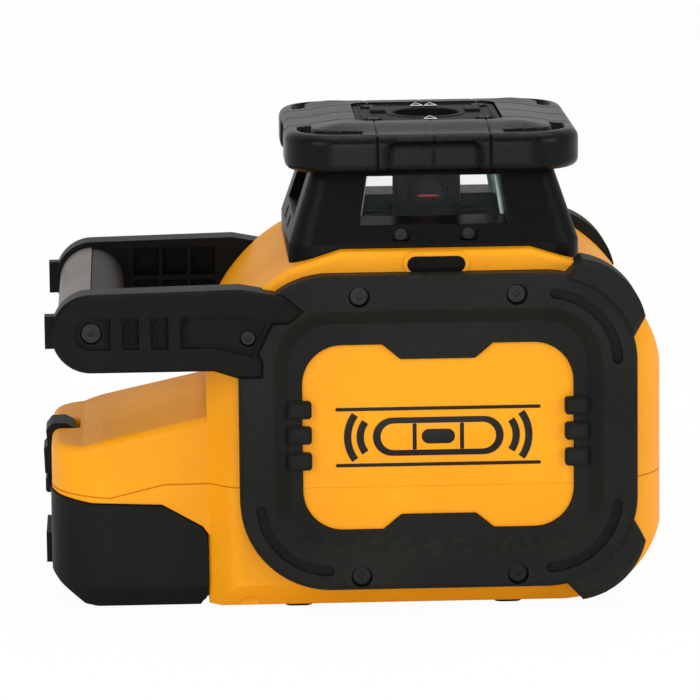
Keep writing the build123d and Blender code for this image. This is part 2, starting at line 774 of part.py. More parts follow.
with BuildPart() as cage_screws:
    for turn, x in SILL_SCREWS:
        seat = Plane.XZ.rotated((0, 0, 90 * turn)).offset(CAGE_FOOT - SILL_POCKET_DEPTH)
        with BuildSketch(seat):
            with Locations((x, SILL_SCREW_Z)):
                Circle(SILL_SCREW_R)
        extrude(amount=1.0)
        with BuildSketch(seat):
            with Locations((x, SILL_SCREW_Z)):
                Circle(SILL_SCREW_R)
                RegularPolygon(1.3, 6, mode=Mode.SUBTRACT)
        extrude(amount=2.4)

GLASS_LOW = CAGE_SPRING_Z + 2.0
GLASS_HIGH = CAGE_TOP - 1.8


def glass_reach(height):
    """Distance of the lantern's inner faces from the rotor axis at a height."""
    share = (height - CAGE_SPRING_Z - 1.6) / (CAGE_TOP - CAGE_SPRING_Z - 2.8)
    return GLASS_FOOT + (GLASS_HEAD - GLASS_FOOT) * share


def pane(turn):
    """One leaning glass pane of the lantern, parallel to the pillars' inner faces."""
    with BuildPart() as glass:
        for height in (GLASS_LOW, GLASS_HIGH):
            out = glass_reach(height)
            with BuildSketch(Plane.XY.rotated((0, 0, 90 * turn)).offset(height)):
                with Locations((0, -out + 1.15)):
                    Rectangle(2 * (out - 3.4), 2.0)
        loft(ruled=True)
    return glass


window_right = pane(0)
window_rear = pane(1)
window_left = pane(2)
window_front = pane(3)

with BuildPart() as cap_domes:
    for turn in range(4):
        with BuildSketch(Plane.XY.rotated((0, 0, 90 * turn)).offset(CAP_HIGH - DOME_ROOT)):
            with Locations(DOME_SPOT):
                RectangleRounded(DOME_SIZE, DOME_SIZE, 0.4 * DOME_SIZE)
        extrude(amount=DOME_ROOT + DOME_RISE)
    fillet(cap_domes.faces().group_by(Axis.Z)[-1].edges(), 2.3)

with BuildPart() as cap_scoop:
    with BuildSketch(Plane.XZ.offset(CAP_HALF - SCOOP_DEPTH)):
        with Locations((0, CAP_HIGH - SCOOP_LIP - CAP_HIGH / 2)):
            RectangleRounded(2 * SCOOP_HALF, CAP_HIGH, SCOOP_R)
    extrude(amount=CAP_HALF)
    fillet(cap_scoop.edges().filter_by(Axis.Z).group_by(Axis.Y)[-1], SCOOP_DEPTH - 0.4)

with BuildPart() as cage_cap:
    with BuildSketch(Plane.XY.offset(CAP_LOW)):
        RectangleRounded(2 * CAP_HALF, 2 * CAP_HALF, CAP_R)
    extrude(amount=CAP_HIGH - CAP_LOW)
    fillet(cage_cap.faces().sort_by(Axis.Z)[-1].edges(), CAP_TOP_EDGE_R)
    fillet(cage_cap.faces().sort_by(Axis.Z)[0].edges(), CAP_LOW_EDGE_R)
    for turn in range(4):
        add(cap_scoop.part.rotate(Axis.Z, 90 * turn), mode=Mode.SUBTRACT)
    for turn in range(4):
        with BuildSketch(Plane.XY.rotated((0, 0, 90 * turn)).offset(CAP_HIGH)):
            with Locations((43.4, -43.4)):
                RectangleRounded(34.0, 34.0, 15.0)
                RectangleRounded(28.4, 28.4, 12.4, mode=Mode.SUBTRACT)
            with Locations((29.0, -29.0)):
                Rectangle(36.0, 36.0, mode=Mode.SUBTRACT)
        extrude(amount=-3.0, mode=Mode.SUBTRACT)
        for x in (-CAP_SEAM_X, CAP_SEAM_X):
            with BuildSketch(Plane.XZ.rotated((0, 0, 90 * turn)).offset(CAP_HALF)):
                with Locations((x, (CAP_LOW + CAP_HIGH) / 2)):
                    Rectangle(0.9, CAP_HIGH - CAP_LOW + 2)
            extrude(amount=-0.9, mode=Mode.SUBTRACT)
    add(cap_domes.part)
    with BuildSketch(Plane.XY.offset(CAP_HIGH)):
        RectangleRounded(CAP_OPENING, CAP_OPENING, 7.0)
    extrude(amount=-CAP_WELL_DEPTH, mode=Mode.SUBTRACT)
    with BuildSketch(Plane.XY.offset(CAP_HIGH)):
        RectangleRounded(CAP_WELL, CAP_WELL, 5.0)
    extrude(amount=-30, mode=Mode.SUBTRACT)

with BuildPart() as cap_plate:
    with BuildSketch(Plane.XY.offset(PLATE_Z)):
        RectangleRounded(CAP_OPENING - 0.4, CAP_OPENING - 0.4, 6.8)
        Circle(PLATE_HOLE_R, mode=Mode.SUBTRACT)
    extrude(amount=PLATE_T)
    with BuildSketch(Plane.XY.offset(CAGE_TOP)):
        RectangleRounded(CAP_WELL - 0.4, CAP_WELL - 0.4, 4.8)
        RectangleRounded(CAP_WELL - 4.4, CAP_WELL - 4.4, 3.0, mode=Mode.SUBTRACT)
    extrude(amount=PLATE_Z - CAGE_TOP)
    with BuildSketch(Plane.XY.offset(PLATE_TOP)):
        with GridLocations(42.0, 32.0, 2, 2):
            RectangleRounded(6.8, 9.0, 1.0)
    extrude(amount=-1.6, mode=Mode.SUBTRACT)
    with BuildSketch(Plane.XY.offset(PLATE_TOP)):
        with GridLocations(*CAP_SCREW_GRID):
            Circle(CAP_SHANK_R + 0.1)
    extrude(amount=-PLATE_T, mode=Mode.SUBTRACT)

with BuildPart() as cap_screws:
    with BuildSketch(Plane.XY.offset(PLATE_TOP)):
        with GridLocations(*CAP_SCREW_GRID):
            Circle(CAP_SCREW_R)
    extrude(amount=0.6)
    with BuildSketch(Plane.XY.offset(PLATE_TOP)):
        with GridLocations(*CAP_SCREW_GRID):
            Circle(CAP_SCREW_R)
            RegularPolygon(1.2, 6, mode=Mode.SUBTRACT)
    extrude(amount=1.5)
    with BuildSketch(Plane.XY.offset(PLATE_TOP)):
        with GridLocations(*CAP_SCREW_GRID):
            Circle(CAP_SHANK_R)
    extrude(amount=-PLATE_T)

# ================================================================ receiver windows, inserts, feet
with BuildPart() as receiver_window_right:
    with BuildSketch(Plane.XZ.offset(BODY_HALF - RECEIVER_DEPTH)):
        with Locations((0, RECEIVER_Z)):
            SlotOverall(RECEIVER_LENGTH - 0.4, RECEIVER_HEIGHT - 0.4)
    extrude(amount=RECEIVER_DEPTH - 0.1)
    fillet(receiver_window_right.faces().sort_by(Axis.Y)[0].edges(), 0.5)

receiver_window_left = mirrored(receiver_window_right)

with BuildPart() as tripod_insert:
    with BuildSketch(Plane.XY.offset(TRIPOD_LIP)):
        Circle(INSERT_R)
        Circle(THREAD_R, mode=Mode.SUBTRACT)
    extrude(amount=TRIPOD_DEPTH - TRIPOD_LIP)
    with BuildSketch(Plane.XY):
        Circle(TRIPOD_FLANGE_R)
        Circle(THREAD_R, mode=Mode.SUBTRACT)
    extrude(amount=TRIPOD_LIP)

with BuildPart() as rear_insert:
    with BuildSketch(Plane.YZ.offset(BODY_REAR - REAR_DEPTH)):
        with Locations((0, REAR_MOUNT_Z)):
            Circle(INSERT_R)
            Circle(THREAD_R, mode=Mode.SUBTRACT)
    extrude(amount=REAR_DEPTH)
    with BuildSketch(Plane.YZ.offset(BODY_REAR)):
        with Locations((0, REAR_MOUNT_Z)):
            Circle(REAR_FLANGE_R)
            Circle(THREAD_R, mode=Mode.SUBTRACT)
    extrude(amount=REAR_LIP)

with BuildPart() as base_feet:
    with BuildSketch(Plane.XY):
        with Locations((32.0, -54.0), (32.0, 54.0), (-62.0, -54.0), (-62.0, 54.0)):
            SlotOverall(13.0, 8.0)
    extrude(amount=BODY_BASE)
    chamfer(base_feet.faces().group_by(Axis.Z)[0].edges(), 0.6)

with BuildPart() as housing_screws:
    for x, y in HOUSING_SCREWS:
        with BuildSketch(Plane.XY.offset(5.6)):
            with Locations((x, y)):
                Circle(3.3)
                RegularPolygon(1.5, 6, mode=Mode.SUBTRACT)
        extrude(amount=2.0)
        with BuildSketch(Plane.XY.offset(7.6)):
            with Locations((x, y)):
                Circle(3.3)
        extrude(amount=1.4)
        with BuildSketch(Plane.XY.offset(9.0)):
            with Locations((x, y)):
                Circle(1.65)
        extrude(amount=20)

# ================================================================ keypad
with BuildPart() as keypad_panel:
    with BuildSketch(KEYPAD_PLANE):
        RectangleRounded(2 * KEYPAD_HALF, KEYPAD_HEIGHT, 3.0)
        with Locations((-4.0, 0.0)):
            RectangleRounded(38.4, 22.4, 1.6, mode=Mode.SUBTRACT)
        for across, up, half in KEYS.values():
            with Locations((across, up)):
                RectangleRounded(2 * half + 0.6, 2 * half + 0.6, 1.9, mode=Mode.SUBTRACT)
    extrude(amount=1.8)

with BuildPart() as lcd_window:
    with BuildSketch(KEYPAD_PLANE):
        with Locations((-4.0, 0.0)):
            RectangleRounded(38.0, 22.0, 1.4)
    extrude(amount=1.6)

keys = {}
for label, (across, up, half) in KEYS.items():
    with BuildPart() as key:
        with BuildSketch(KEYPAD_PLANE.offset(KEY_TRAVEL + 0.3)):
            with Locations((across, up)):
                RectangleRounded(2 * half, 2 * half, 1.6)
        extrude(amount=2.0)
        fillet(key.faces().sort_by(KEY_AXIS)[-1].edges(), 0.5)
    keys[label] = key

# ================================================================ battery bay
COVER_TOP = (
    (COVER_FRONT, 52.8),
    (-168.7, 51.4),
    (-154.3, 48.9),
    (-122.7, 47.6),
    (-104.9, 37.4),
    (COVER_REAR, 33.9),
)
COVER_BASE = (
    (COVER_REAR, 7.0),
    (-106.0, 2.0),
    (-152.0, 2.0),
    (-157.7, 3.1),
    (-168.7, 12.0),
    (COVER_FRONT, 16.1),
)


def cover_plan(inset):
    """Plan outline of the battery cover at the skirt crease."""
    with BuildSketch(Plane.XY.offset(10.8)) as outline:
        with BuildLine():
            Polyline(
                (COVER_FRONT + inset, -COVER_HALF + inset),
                (-90.0, -COVER_HALF + inset),
                (-90.0, COVER_HALF - inset),
                (COVER_FRONT + inset, COVER_HALF - inset),
                close=True,
            )
        make_face()
        fillet(outline.vertices().group_by(Axis.X)[0], TONGUE_CORNER_R + 0.6 - inset)
    return outline.sketch


def cover_block(inset):
    """Body between the cover's plan walls, sloping in a little below the skirt crease."""
    with BuildPart() as block:
        extrude(cover_plan(inset), amount=60)
        extrude(cover_plan(inset), amount=-9.5, taper=18)
    return block


with BuildPart() as battery_cover:
    with BuildSketch(Plane.XZ):
        with BuildLine():
            Polyline(*COVER_TOP, *COVER_BASE, close=True)
        make_face()
    extrude(amount=COVER_HALF + 5, both=True)
    add(cover_block(0.0).part, mode=Mode.INTERSECT)
    with BuildSketch(Plane.XY):
        with Locations((-116.2, 46.0), (-116.2, -46.0)):
            SlotOverall(12.0, 8.0)
    extrude(amount=3.0)
    with Locations((COVER_FRONT - 1.0, 0, 21.0)):
        Box(3.6, 40.0, 13.6)
    with Locations((COVER_FRONT - 1.0, 0, 48.4)):
        Box(3.6, 25.0, 6.8)
    chamfer(battery_cover.faces().sort_by(Axis.X)[0].edges(), 0.8)

with BuildPart() as cover_cavity:
    with BuildSketch(Plane.XZ):
        with BuildLine():
            Polyline(
                (COVER_FRONT + COVER_WALL, 70.0),
                (-90.0, 70.0),
                (-90.0, 4.6),
                (-151.5, 4.6),
                (-156.6, 5.6),
                (-166.9, 13.8),
                (COVER_FRONT + COVER_WALL, 17.4),
                close=True,
            )
        make_face()
    extrude(amount=COVER_HALF, both=True)
    add(cover_block(COVER_WALL).part, mode=Mode.INTERSECT)

with BuildPart() as battery_cover_shell:
    add(battery_cover.part)
    add(cover_cavity.part, mode=Mode.SUBTRACT)
    for y in (-50.5, 50.5):
        with BuildSketch(Plane.XZ.offset(-y + 3.5)):
            with Locations(COVER_PIVOT):
                Circle(3.2)
        extrude(amount=-7)
    with BuildSketch(Plane.XZ.offset(57)):
        with Locations(COVER_PIVOT):
            Circle(PIN_R + 0.05)
    extrude(amount=-114, mode=Mode.SUBTRACT)
    for y in (-LUG_Y, LUG_Y):
        with Locations((-107.0, y, 5.0)):
            Box(14.0, 7.2, 10.6, mode=Mode.SUBTRACT)

with BuildPart() as cover_hinge_pin:
    with BuildSketch(Plane.XZ.offset(56.0)):
        with Locations(COVER_PIVOT):
            Circle(PIN_R)
    extrude(amount=-112.0)

with BuildPart() as battery_latch:
    with BuildSketch(Plane.XZ):
        with BuildLine():
            Polyline(
                (-175.4, 53.6),
                (-172.6, 53.2),
                (-172.4, 66.4),
                (-168.4, 68.6),
                (-162.5, 69.0),
                (-161.2, 74.2),
                (-166.0, 76.6),
                (-172.0, 76.4),
                (-174.6, 73.0),
                (-174.0, 66.4),
                (-175.8, 64.6),
                close=True,
            )
        make_face()
    extrude(amount=11.0, both=True)
    rounded = battery_latch.edges().filter_by(Axis.Y).filter_by(lambda e: e.center().Z > 73)
    fillet(rounded, 1.4)
    with BuildSketch(Plane.XZ.offset(20)):
        with Locations(LATCH_PIVOT):
            Circle(PIN_R + 0.05)
    extrude(amount=-40, mode=Mode.SUBTRACT)

with BuildPart() as latch_pin:
    with BuildSketch(Plane.XZ.offset(15.2)):
        with Locations(LATCH_PIVOT):
            Circle(PIN_R)
    extrude(amount=-30.4)

with BuildPart() as battery_pack:
    with Locations((PACK_X, 0, (PACK_LOW + PACK_TOP) / 2)):
        Box(PACK_REAR - PACK_FRONT, 2 * PACK_HALF, PACK_TOP - PACK_LOW)
    fillet(battery_pack.edges().filter_by(Axis.X), 5.0)
    fillet(battery_pack.faces().sort_by(Axis.X)[0].edges(), 2.0)
    with Locations((RAIL_X, 0, PACK_TOP + 4.5)):
        Box(96.0, 52.0, 9.0)
    for side in (1, -1):
        with Locations((RAIL_X, side * 26.0, PACK_TOP + 5.5)):
            Box(90.0, 4.0, 3.0, mode=Mode.SUBTRACT)
    with BuildSketch(Plane.YZ.offset(PACK_FRONT)):
        with Locations((0, RELEASE_Z)):
            RectangleRounded(26.6, 12.6, 3.2)
    extrude(amount=7.0, mode=Mode.SUBTRACT)
    with Locations((TERMINAL_X, 0, 49.0)):
        Box(12.0, 40.0, 8.0, mode=Mode.SUBTRACT)

with BuildPart() as battery_release:
    with BuildSketch(Plane.YZ.offset(PACK_FRONT - 1.4)):
        with Locations((0, RELEASE_Z)):
            RectangleRounded(26.0, 12.0, 3.0)
    extrude(amount=5.0)
    fillet(battery_release.faces().sort_by(Axis.X)[0].edges(), 0.8)

with BuildPart() as battery_terminals:
    with Locations((TERMINAL_X, 0, 50.6)):
        Box(8.0, 36.0, 4.0)
    with Locations((TERMINAL_X, 0, 47.0)):
        with GridLocations(1.0, 7.0, 1, 5):
            Box(6.0, 1.0, 3.2)

with BuildPart() as bay_seal:
    extrude(tongue_plan(TONGUE_WALL).moved(Location((0, 0, 58.0))), amount=2.4)
    extrude(tongue_plan(TONGUE_WALL + 2.4).moved(Location((0, 0, 58.0))), amount=2.4, mode=Mode.SUBTRACT)
    with Locations((-137.0, 0, 59.0)):
        Box(67.0, 140.0, 10.0, mode=Mode.INTERSECT)

with BuildPart() as main_board:
    with Locations((-76.0, 0, 62.0)):
        Box(40.0, 84.0, 1.6)
    with Locations((-76.0, 0, 64.2)):
        Box(14.0, 14.0, 2.8)
    with Locations((-64.0, 24.0, 65.8)):
        Box(10.0, 18.0, 6.0)
    with Locations((-84.0, -26.0, 67.0)):
        Cylinder(5.0, 8.4)

# ================================================================ self-levelling gimbal
CHASSIS_Z = 92.0
CHASSIS_T = 5.0
PLUNGER_R = 2.0
X_PLUNGER = (33.0, 0.0)
Y_PLUNGER = (0.0, 22.0)
RING_OUT = 36.5
RING_IN = 29.0
RING_HALF = 4.0
PLATFORM_Z = 124.0
PLATFORM_R = 36.0
WING_HALF = 17.0
TUBE_BORE_R = 6.5
RUNNING_GAP = 0.05

with BuildPart() as chassis:
    with BuildSketch(Plane.XY.offset(CHASSIS_Z)):
        RectangleRounded(96.0, 96.0, 12.0)
        Circle(13.0, mode=Mode.SUBTRACT)
        with Locations(X_PLUNGER, Y_PLUNGER):
            Circle(PLUNGER_R + RUNNING_GAP, mode=Mode.SUBTRACT)
        with Locations((-36, 0), (36, 30), (36, -30), (-36, 30), (-36, -30), (0, -34)):
            Circle(5.0, mode=Mode.SUBTRACT)
    extrude(amount=CHASSIS_T)
    with BuildSketch(Plane.XY.offset(CHASSIS_Z)):
        with GridLocations(76.0, 76.0, 2, 2):
            Circle(4.5)
    extrude(amount=BODY_TOP - WALL - CHASSIS_Z - 0.02)
    with BuildSketch(Plane.XY.offset(CHASSIS_Z + CHASSIS_T)):
        with GridLocations(0, 87.0, 1, 2):
            Rectangle(12.0, 8.0)
    extrude(amount=PIVOT_Z + 6 - CHASSIS_Z - CHASSIS_T)
    with BuildSketch(Plane.XZ.offset(60)):
        with Locations((0, PIVOT_Z)):
            Circle(2.5 + RUNNING_GAP)
    extrude(amount=-120, mode=Mode.SUBTRACT)

with BuildPart() as gimbal_ring:
    with BuildSketch(Plane.XY.offset(PIVOT_Z - RING_HALF)):
        Circle(RING_OUT)
        Circle(RING_IN, mode=Mode.SUBTRACT)
    extrude(amount=2 * RING_HALF)
    for side in (1, -1):
        with BuildSketch(Plane.XZ.offset(side * (RING_OUT - 1))):
            with Locations((0, PIVOT_Z)):
                Circle(2.5)
        extrude(amount=side * 10.5)
        with BuildSketch(Plane.YZ.offset(side * (RING_IN + 1))):
            with Locations((0, PIVOT_Z)):
                Circle(2.0)
        extrude(amount=-side * 8.0)

with BuildPart() as levelling_platform:
    with BuildSketch(Plane.XY.offset(PLATFORM_Z)):
        Circle(PLATFORM_R)
        Rectangle(2 * PLATFORM_R, 2 * WING_HALF, mode=Mode.INTERSECT)
        Circle(RING_IN - 1.0)
        Circle(TUBE_BORE_R, mode=Mode.SUBTRACT)
    extrude(amount=3.5)
    for side in (1, -1):
        with Locations((side * 24.5, 0, (PLATFORM_Z + PIVOT_Z - 3.2) / 2)):
            Box(4.0, 9.0, PLATFORM_Z - PIVOT_Z + 3.2)
    with BuildSketch(Plane.YZ.offset(-40)):
        with Locations((0, PIVOT_Z)):
            Circle(2.0 + RUNNING_GAP)
    extrude(amount=80, mode=Mode.SUBTRACT)
    with BuildSketch(Plane.XY.offset(96.0)):
        Circle(9.0)
        Circle(TUBE_BORE_R, mode=Mode.SUBTRACT)
    extrude(amount=PLATFORM_Z - 96.0)
    with BuildSketch(Plane.XY.offset(PLATFORM_Z + 3.5)):
        Circle(POST_R)
        Circle(5.5, mode=Mode.SUBTRACT)
    extrude(amount=36.0)
    with BuildSketch(Plane.XY.offset(PLATFORM_Z + 3.5)):
        Circle(SLEEVE_R - 1.0)
        Circle(POST_R, mode=Mode.SUBTRACT)
    extrude(amount=2.0)

with BuildPart() as laser_module:
    with BuildSketch(Plane.XY.offset(94.0)):
        Circle(6.4)
    extrude(amount=22.0)
    with BuildSketch(Plane.XY.offset(91.5)):
        Circle(4.6)
    extrude(amount=2.5)
    with BuildSketch(Plane.XY.offset(116.0)):
        Circle(6.4)
        Circle(3.0, mode=Mode.SUBTRACT)
    extrude(amount=3.0)

with BuildPart() as collimator_lens:
    with BuildSketch(Plane.XY.offset(158.6)):
        Circle(5.4)
    extrude(amount=3.0)
    fillet(collimator_lens.faces().sort_by(Axis.Z)[-1].edges(), 1.2)

with BuildPart() as rotor_bearings:
    for height in (130.5, 146.5):
        with BuildSketch(Plane.XY.offset(height)):
            Circle(11.0)
            Circle(POST_R, mode=Mode.SUBTRACT)
        extrude(amount=4.0)

GEAR_CENTRES = MODULE * (ROTOR_TEETH + PINION_TEETH) / 2
GEAR_Z = 151.0


def spur(teeth, phase, centre, low, face, bore):
    """Straight-toothed spur wheel with trapezoid teeth and a little backlash."""
    pitch_r = MODULE * teeth / 2
    step = 360 / teeth
    root_half = 0.27 * step
    tip_half = 0.13 * step
    root_r = pitch_r - 1.15 * MODULE
    tip_r = pitch_r + 0.85 * MODULE
    with BuildPart() as wheel:
        with BuildSketch(Plane.XY.offset(low)):
            with Locations(centre):
                Circle(root_r)
            for tooth in range(teeth):
                angle = phase + tooth * step
                corners = (
                    (root_r - 0.4, -root_half),
                    (root_r, -root_half),
                    (tip_r, -tip_half),
                    (tip_r, tip_half),
                    (root_r, root_half),
                    (root_r - 0.4, root_half),
                )
                spots = [
                    (
                        centre[0] + r * cos(radians(angle + off)),
                        centre[1] + r * sin(radians(angle + off)),
                    )
                    for r, off in corners
                ]
                with BuildLine():
                    Polyline(*spots, close=True)
                make_face()
            with Locations(centre):
                Circle(bore, mode=Mode.SUBTRACT)
        extrude(amount=face)
    return wheel


rotor_gear = spur(ROTOR_TEETH, 0, (0, 0), GEAR_Z, 4.0, SLEEVE_R)
motor_pinion = spur(PINION_TEETH, 180 + 180 / PINION_TEETH, (GEAR_CENTRES, 0), GEAR_Z, 4.0, 1.05)

with BuildPart() as rotor_motor:
    with BuildSketch(Plane.XY.offset(PLATFORM_Z + 3.5)):
        with Locations((GEAR_CENTRES, 0)):
            Circle(7.5)
    extrude(amount=20.0)
    with BuildSketch(Plane.XY.offset(PLATFORM_Z + 23.5)):
        with Locations((GEAR_CENTRES, 0)):
            Circle(1.0)
    extrude(amount=8.0)

with BuildPart() as rotor_housing:
    with BuildSketch(Plane.XY.offset(130.2)):
        Circle(SLEEVE_R)
        Circle(11.0 + RUNNING_GAP, mode=Mode.SUBTRACT)
    extrude(amount=34.0)
    with BuildSketch(Plane.XY.offset(164.2)):
        Circle(ROTOR_R)
        Circle(11.0, mode=Mode.SUBTRACT)
    extrude(amount=2.0)
    with BuildSketch(Plane.XY.offset(166.2)):
        Circle(ROTOR_R)
        Rectangle(17.0, 17.0, mode=Mode.SUBTRACT)
    extrude(amount=24.0)
    with BuildSketch(Plane.XY.offset(190.2)):
        Circle(ROTOR_R)
        Circle(8.0, mode=Mode.SUBTRACT)
    extrude(amount=2.0)
    chamfer(rotor_housing.edges().filter_by(GeomType.CIRCLE).sort_by(Axis.Z)[-2:].sort_by(SortBy.RADIUS)[-1], 0.8)
    with BuildSketch(Plane.XZ.offset(8.0)):
        with Locations((0, APERTURE_Z)):
            Circle(APERTURE_R)
    extrude(amount=20, mode=Mode.SUBTRACT)
    for turn in (-32, 32, 90, -90, 148, -148):
        pocket = Plane.XZ.rotated((0, 0, turn)).offset(ROTOR_R - 1.4)
        with BuildSketch(pocket):
            with Locations((0, APERTURE_Z)):
                RectangleRounded(2.6, 8.6, 0.6)
        extrude(amount=6, mode=Mode.SUBTRACT)

with BuildPart() as pentaprism:
    with BuildSketch(Plane.YZ.offset(-7.5)):
        with BuildLine():
            Polyline(
                (-8.0, 171.2),
                (8.0, 171.2),
                (8.0, 183.0),
                (2.6, 188.4),
                (-8.0, 188.4),
                close=True,
            )
        make_face()
    extrude(amount=15.0)

with BuildPart() as aperture_lens:
    with BuildSketch(Plane.XZ.offset(8.6)):
        with Locations((0, APERTURE_Z)):
            Circle(APERTURE_R - 0.05)
    extrude(amount=5.6)
    fillet(aperture_lens.faces().sort_by(Axis.Y)[0].edges(), 0.5)


def level_motor(spot):
    """Linear levelling motor under the chassis plate."""
    with BuildPart() as motor:
        with BuildSketch(Plane.XY.offset(CHASSIS_Z - 22.0)):
            with Locations(spot):
                Circle(7.5)
                Circle(PLUNGER_R + RUNNING_GAP, mode=Mode.SUBTRACT)
        extrude(amount=22.0)
        with BuildSketch(Plane.XY.offset(CHASSIS_Z - 24.0)):
            with Locations(spot):
                Circle(7.5)
        extrude(amount=2.0)
    return motor


def plunger(spot, target):
    """Sliding plunger that carries the tilting piece above it."""
    with BuildPart() as rod:
        with BuildSketch(Plane.XY.offset(CHASSIS_Z - 14.0)):
            with Locations(spot):
                Circle(PLUNGER_R)
        extrude(amount=target - 0.4 - CHASSIS_Z + 14.0)
        chamfer(rod.edges().sort_by(Axis.Z)[-1], 0.6)
    return rod


level_motor_x = level_motor(X_PLUNGER)
level_motor_y = level_motor(Y_PLUNGER)
level_plunger_x = plunger(X_PLUNGER, PIVOT_Z - RING_HALF)
level_plunger_y = plunger(Y_PLUNGER, PLATFORM_Z)

# ================================================================ labels and files
PIECES = {
    "upper_housing": upper_housing,
    "lower_housing": lower_housing,
    "bumper_right": bumper_right,
    "bumper_left": bumper_left,
    "bumper_screws": bumper_screws,
    "handle_arm_right": handle_arm_right,
    "handle_arm_left": handle_arm_left,
    "grip_core": grip_core,
    "grip_outer_shell": grip_outer_shell,
    "grip_inner_shell": grip_inner_shell,
    "handle_screws": handle_screws,
    "cage_frame": cage_frame,
    "cage_screws": cage_screws,
    "window_right": window_right,
    "window_left": window_left,
    "window_front": window_front,
    "window_rear": window_rear,
    "cage_cap": cage_cap,
    "cap_plate": cap_plate,
    "cap_screws": cap_screws,
    "receiver_window_right": receiver_window_right,
    "receiver_window_left": receiver_window_left,
    "tripod_insert": tripod_insert,
    "rear_insert": rear_insert,
    "base_feet": base_feet,
    "housing_screws": housing_screws,
    "keypad_panel": keypad_panel,
    "lcd_window": lcd_window,
    "battery_cover": battery_cover_shell,
    "cover_hinge_pin": cover_hinge_pin,
    "battery_latch": battery_latch,
    "latch_pin": latch_pin,
    "battery_pack": battery_pack,
    "battery_release": battery_release,
    "battery_terminals": battery_terminals,
    "bay_seal": bay_seal,
    "main_board": main_board,
    "chassis": chassis,
    "gimbal_ring": gimbal_ring,
    "levelling_platform": levelling_platform,
    "laser_module": laser_module,
    "collimator_lens": collimator_lens,
    "rotor_bearings": rotor_bearings,
    "rotor_gear": rotor_gear,
    "motor_pinion": motor_pinion,
    "rotor_motor": rotor_motor,
    "rotor_housing": rotor_housing,
    "pentaprism": pentaprism,
    "aperture_lens": aperture_lens,
    "level_motor_x": level_motor_x,
    "level_motor_y": level_motor_y,
    "level_plunger_x": level_plunger_x,
    "level_plunger_y": level_plunger_y,
    **keys,
}

for label, piece in PIECES.items():
    piece.part.label = label
    export_step(piece.part, f"parts/{label}.step")
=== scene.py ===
"""Fine meshes, finishes and studio of a rotary laser level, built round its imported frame."""

import logging
import math
from dataclasses import dataclass
from enum import Enum
from functools import lru_cache
from typing import Callable, Iterable, Optional, Sequence

import bmesh
import bpy
import numpy as np
from mathutils import Matrix, Vector


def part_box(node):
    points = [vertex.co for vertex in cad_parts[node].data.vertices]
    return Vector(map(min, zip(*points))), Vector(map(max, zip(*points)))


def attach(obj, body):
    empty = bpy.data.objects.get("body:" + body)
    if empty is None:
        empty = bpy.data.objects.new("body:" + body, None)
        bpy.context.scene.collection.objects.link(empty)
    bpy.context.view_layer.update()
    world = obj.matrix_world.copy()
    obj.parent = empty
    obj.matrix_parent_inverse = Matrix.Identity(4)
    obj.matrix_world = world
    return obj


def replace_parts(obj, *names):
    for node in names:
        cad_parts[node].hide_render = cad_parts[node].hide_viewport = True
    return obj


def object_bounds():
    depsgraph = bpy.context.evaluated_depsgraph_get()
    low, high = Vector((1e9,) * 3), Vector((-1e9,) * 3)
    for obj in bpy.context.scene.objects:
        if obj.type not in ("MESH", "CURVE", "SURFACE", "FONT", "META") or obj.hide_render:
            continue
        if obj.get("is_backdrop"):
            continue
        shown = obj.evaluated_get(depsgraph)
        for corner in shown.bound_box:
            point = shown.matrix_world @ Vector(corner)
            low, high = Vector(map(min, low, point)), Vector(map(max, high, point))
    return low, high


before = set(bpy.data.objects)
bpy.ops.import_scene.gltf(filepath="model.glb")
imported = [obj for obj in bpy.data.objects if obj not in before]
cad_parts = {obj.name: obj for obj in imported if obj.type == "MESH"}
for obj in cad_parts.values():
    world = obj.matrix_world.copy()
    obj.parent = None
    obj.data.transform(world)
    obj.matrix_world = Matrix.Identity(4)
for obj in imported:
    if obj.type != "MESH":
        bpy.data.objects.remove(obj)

LOG = logging.getLogger("laser_level")
MM = 0.001
FULL_TURN = 2 * math.pi
Array = np.ndarray
Rgb = tuple[float, float, float]
Sockets = dict[str, object]


# ------------------------------------------------------------------ mesh kit
@dataclass(frozen=True)
class Seat:
    """Where a piece sits: an origin and the ways its width, its height and its outside point."""

    origin: Array
    across: Array
    up: Array
    out: Array

    def place(self, local: Array) -> Array:
        """Row-frame metres of local (across, up, out) millimetres."""
        across, up, out = (local[..., i : i + 1] for i in range(3))
        return self.origin + MM * (across * self.across + up * self.up + out * self.out)


def seat(origin_mm: Sequence[float], out: Sequence[float], up: Sequence[float] = (0, 0, 1)) -> Seat:
    """Seat at a point, facing a direction.

    Args:
        origin_mm: the seat's origin, in millimetres of the row frame.
        out: the direction that the seat faces.
        up: the direction of its height, at right angles to out.

    Returns:
        A right-handed seat, whose width is up crossed with out.
    """
    outward = np.array(out, float) / np.linalg.norm(out)
    upward = np.array(up, float) / np.linalg.norm(up)
    return Seat(MM * np.array(origin_mm, float), np.cross(upward, outward), upward, outward)


@dataclass(frozen=True)
class Surface:
    """Points of a surface and the quads that join them, in local millimetres."""

    points: Array
    quads: Array

    def moved(self, across: float = 0.0, up: float = 0.0, out: float = 0.0) -> "Surface":
        """The same surface, shifted."""
        return Surface(self.points + np.array([across, up, out]), self.quads)

    def turned(self, degrees: float) -> "Surface":
        """The same surface, turned about its outward axis."""
        c, s = math.cos(math.radians(degrees)), math.sin(math.radians(degrees))
        turn = np.array([[c, s, 0.0], [-s, c, 0.0], [0.0, 0.0, 1.0]])
        return Surface(self.points @ turn, self.quads)


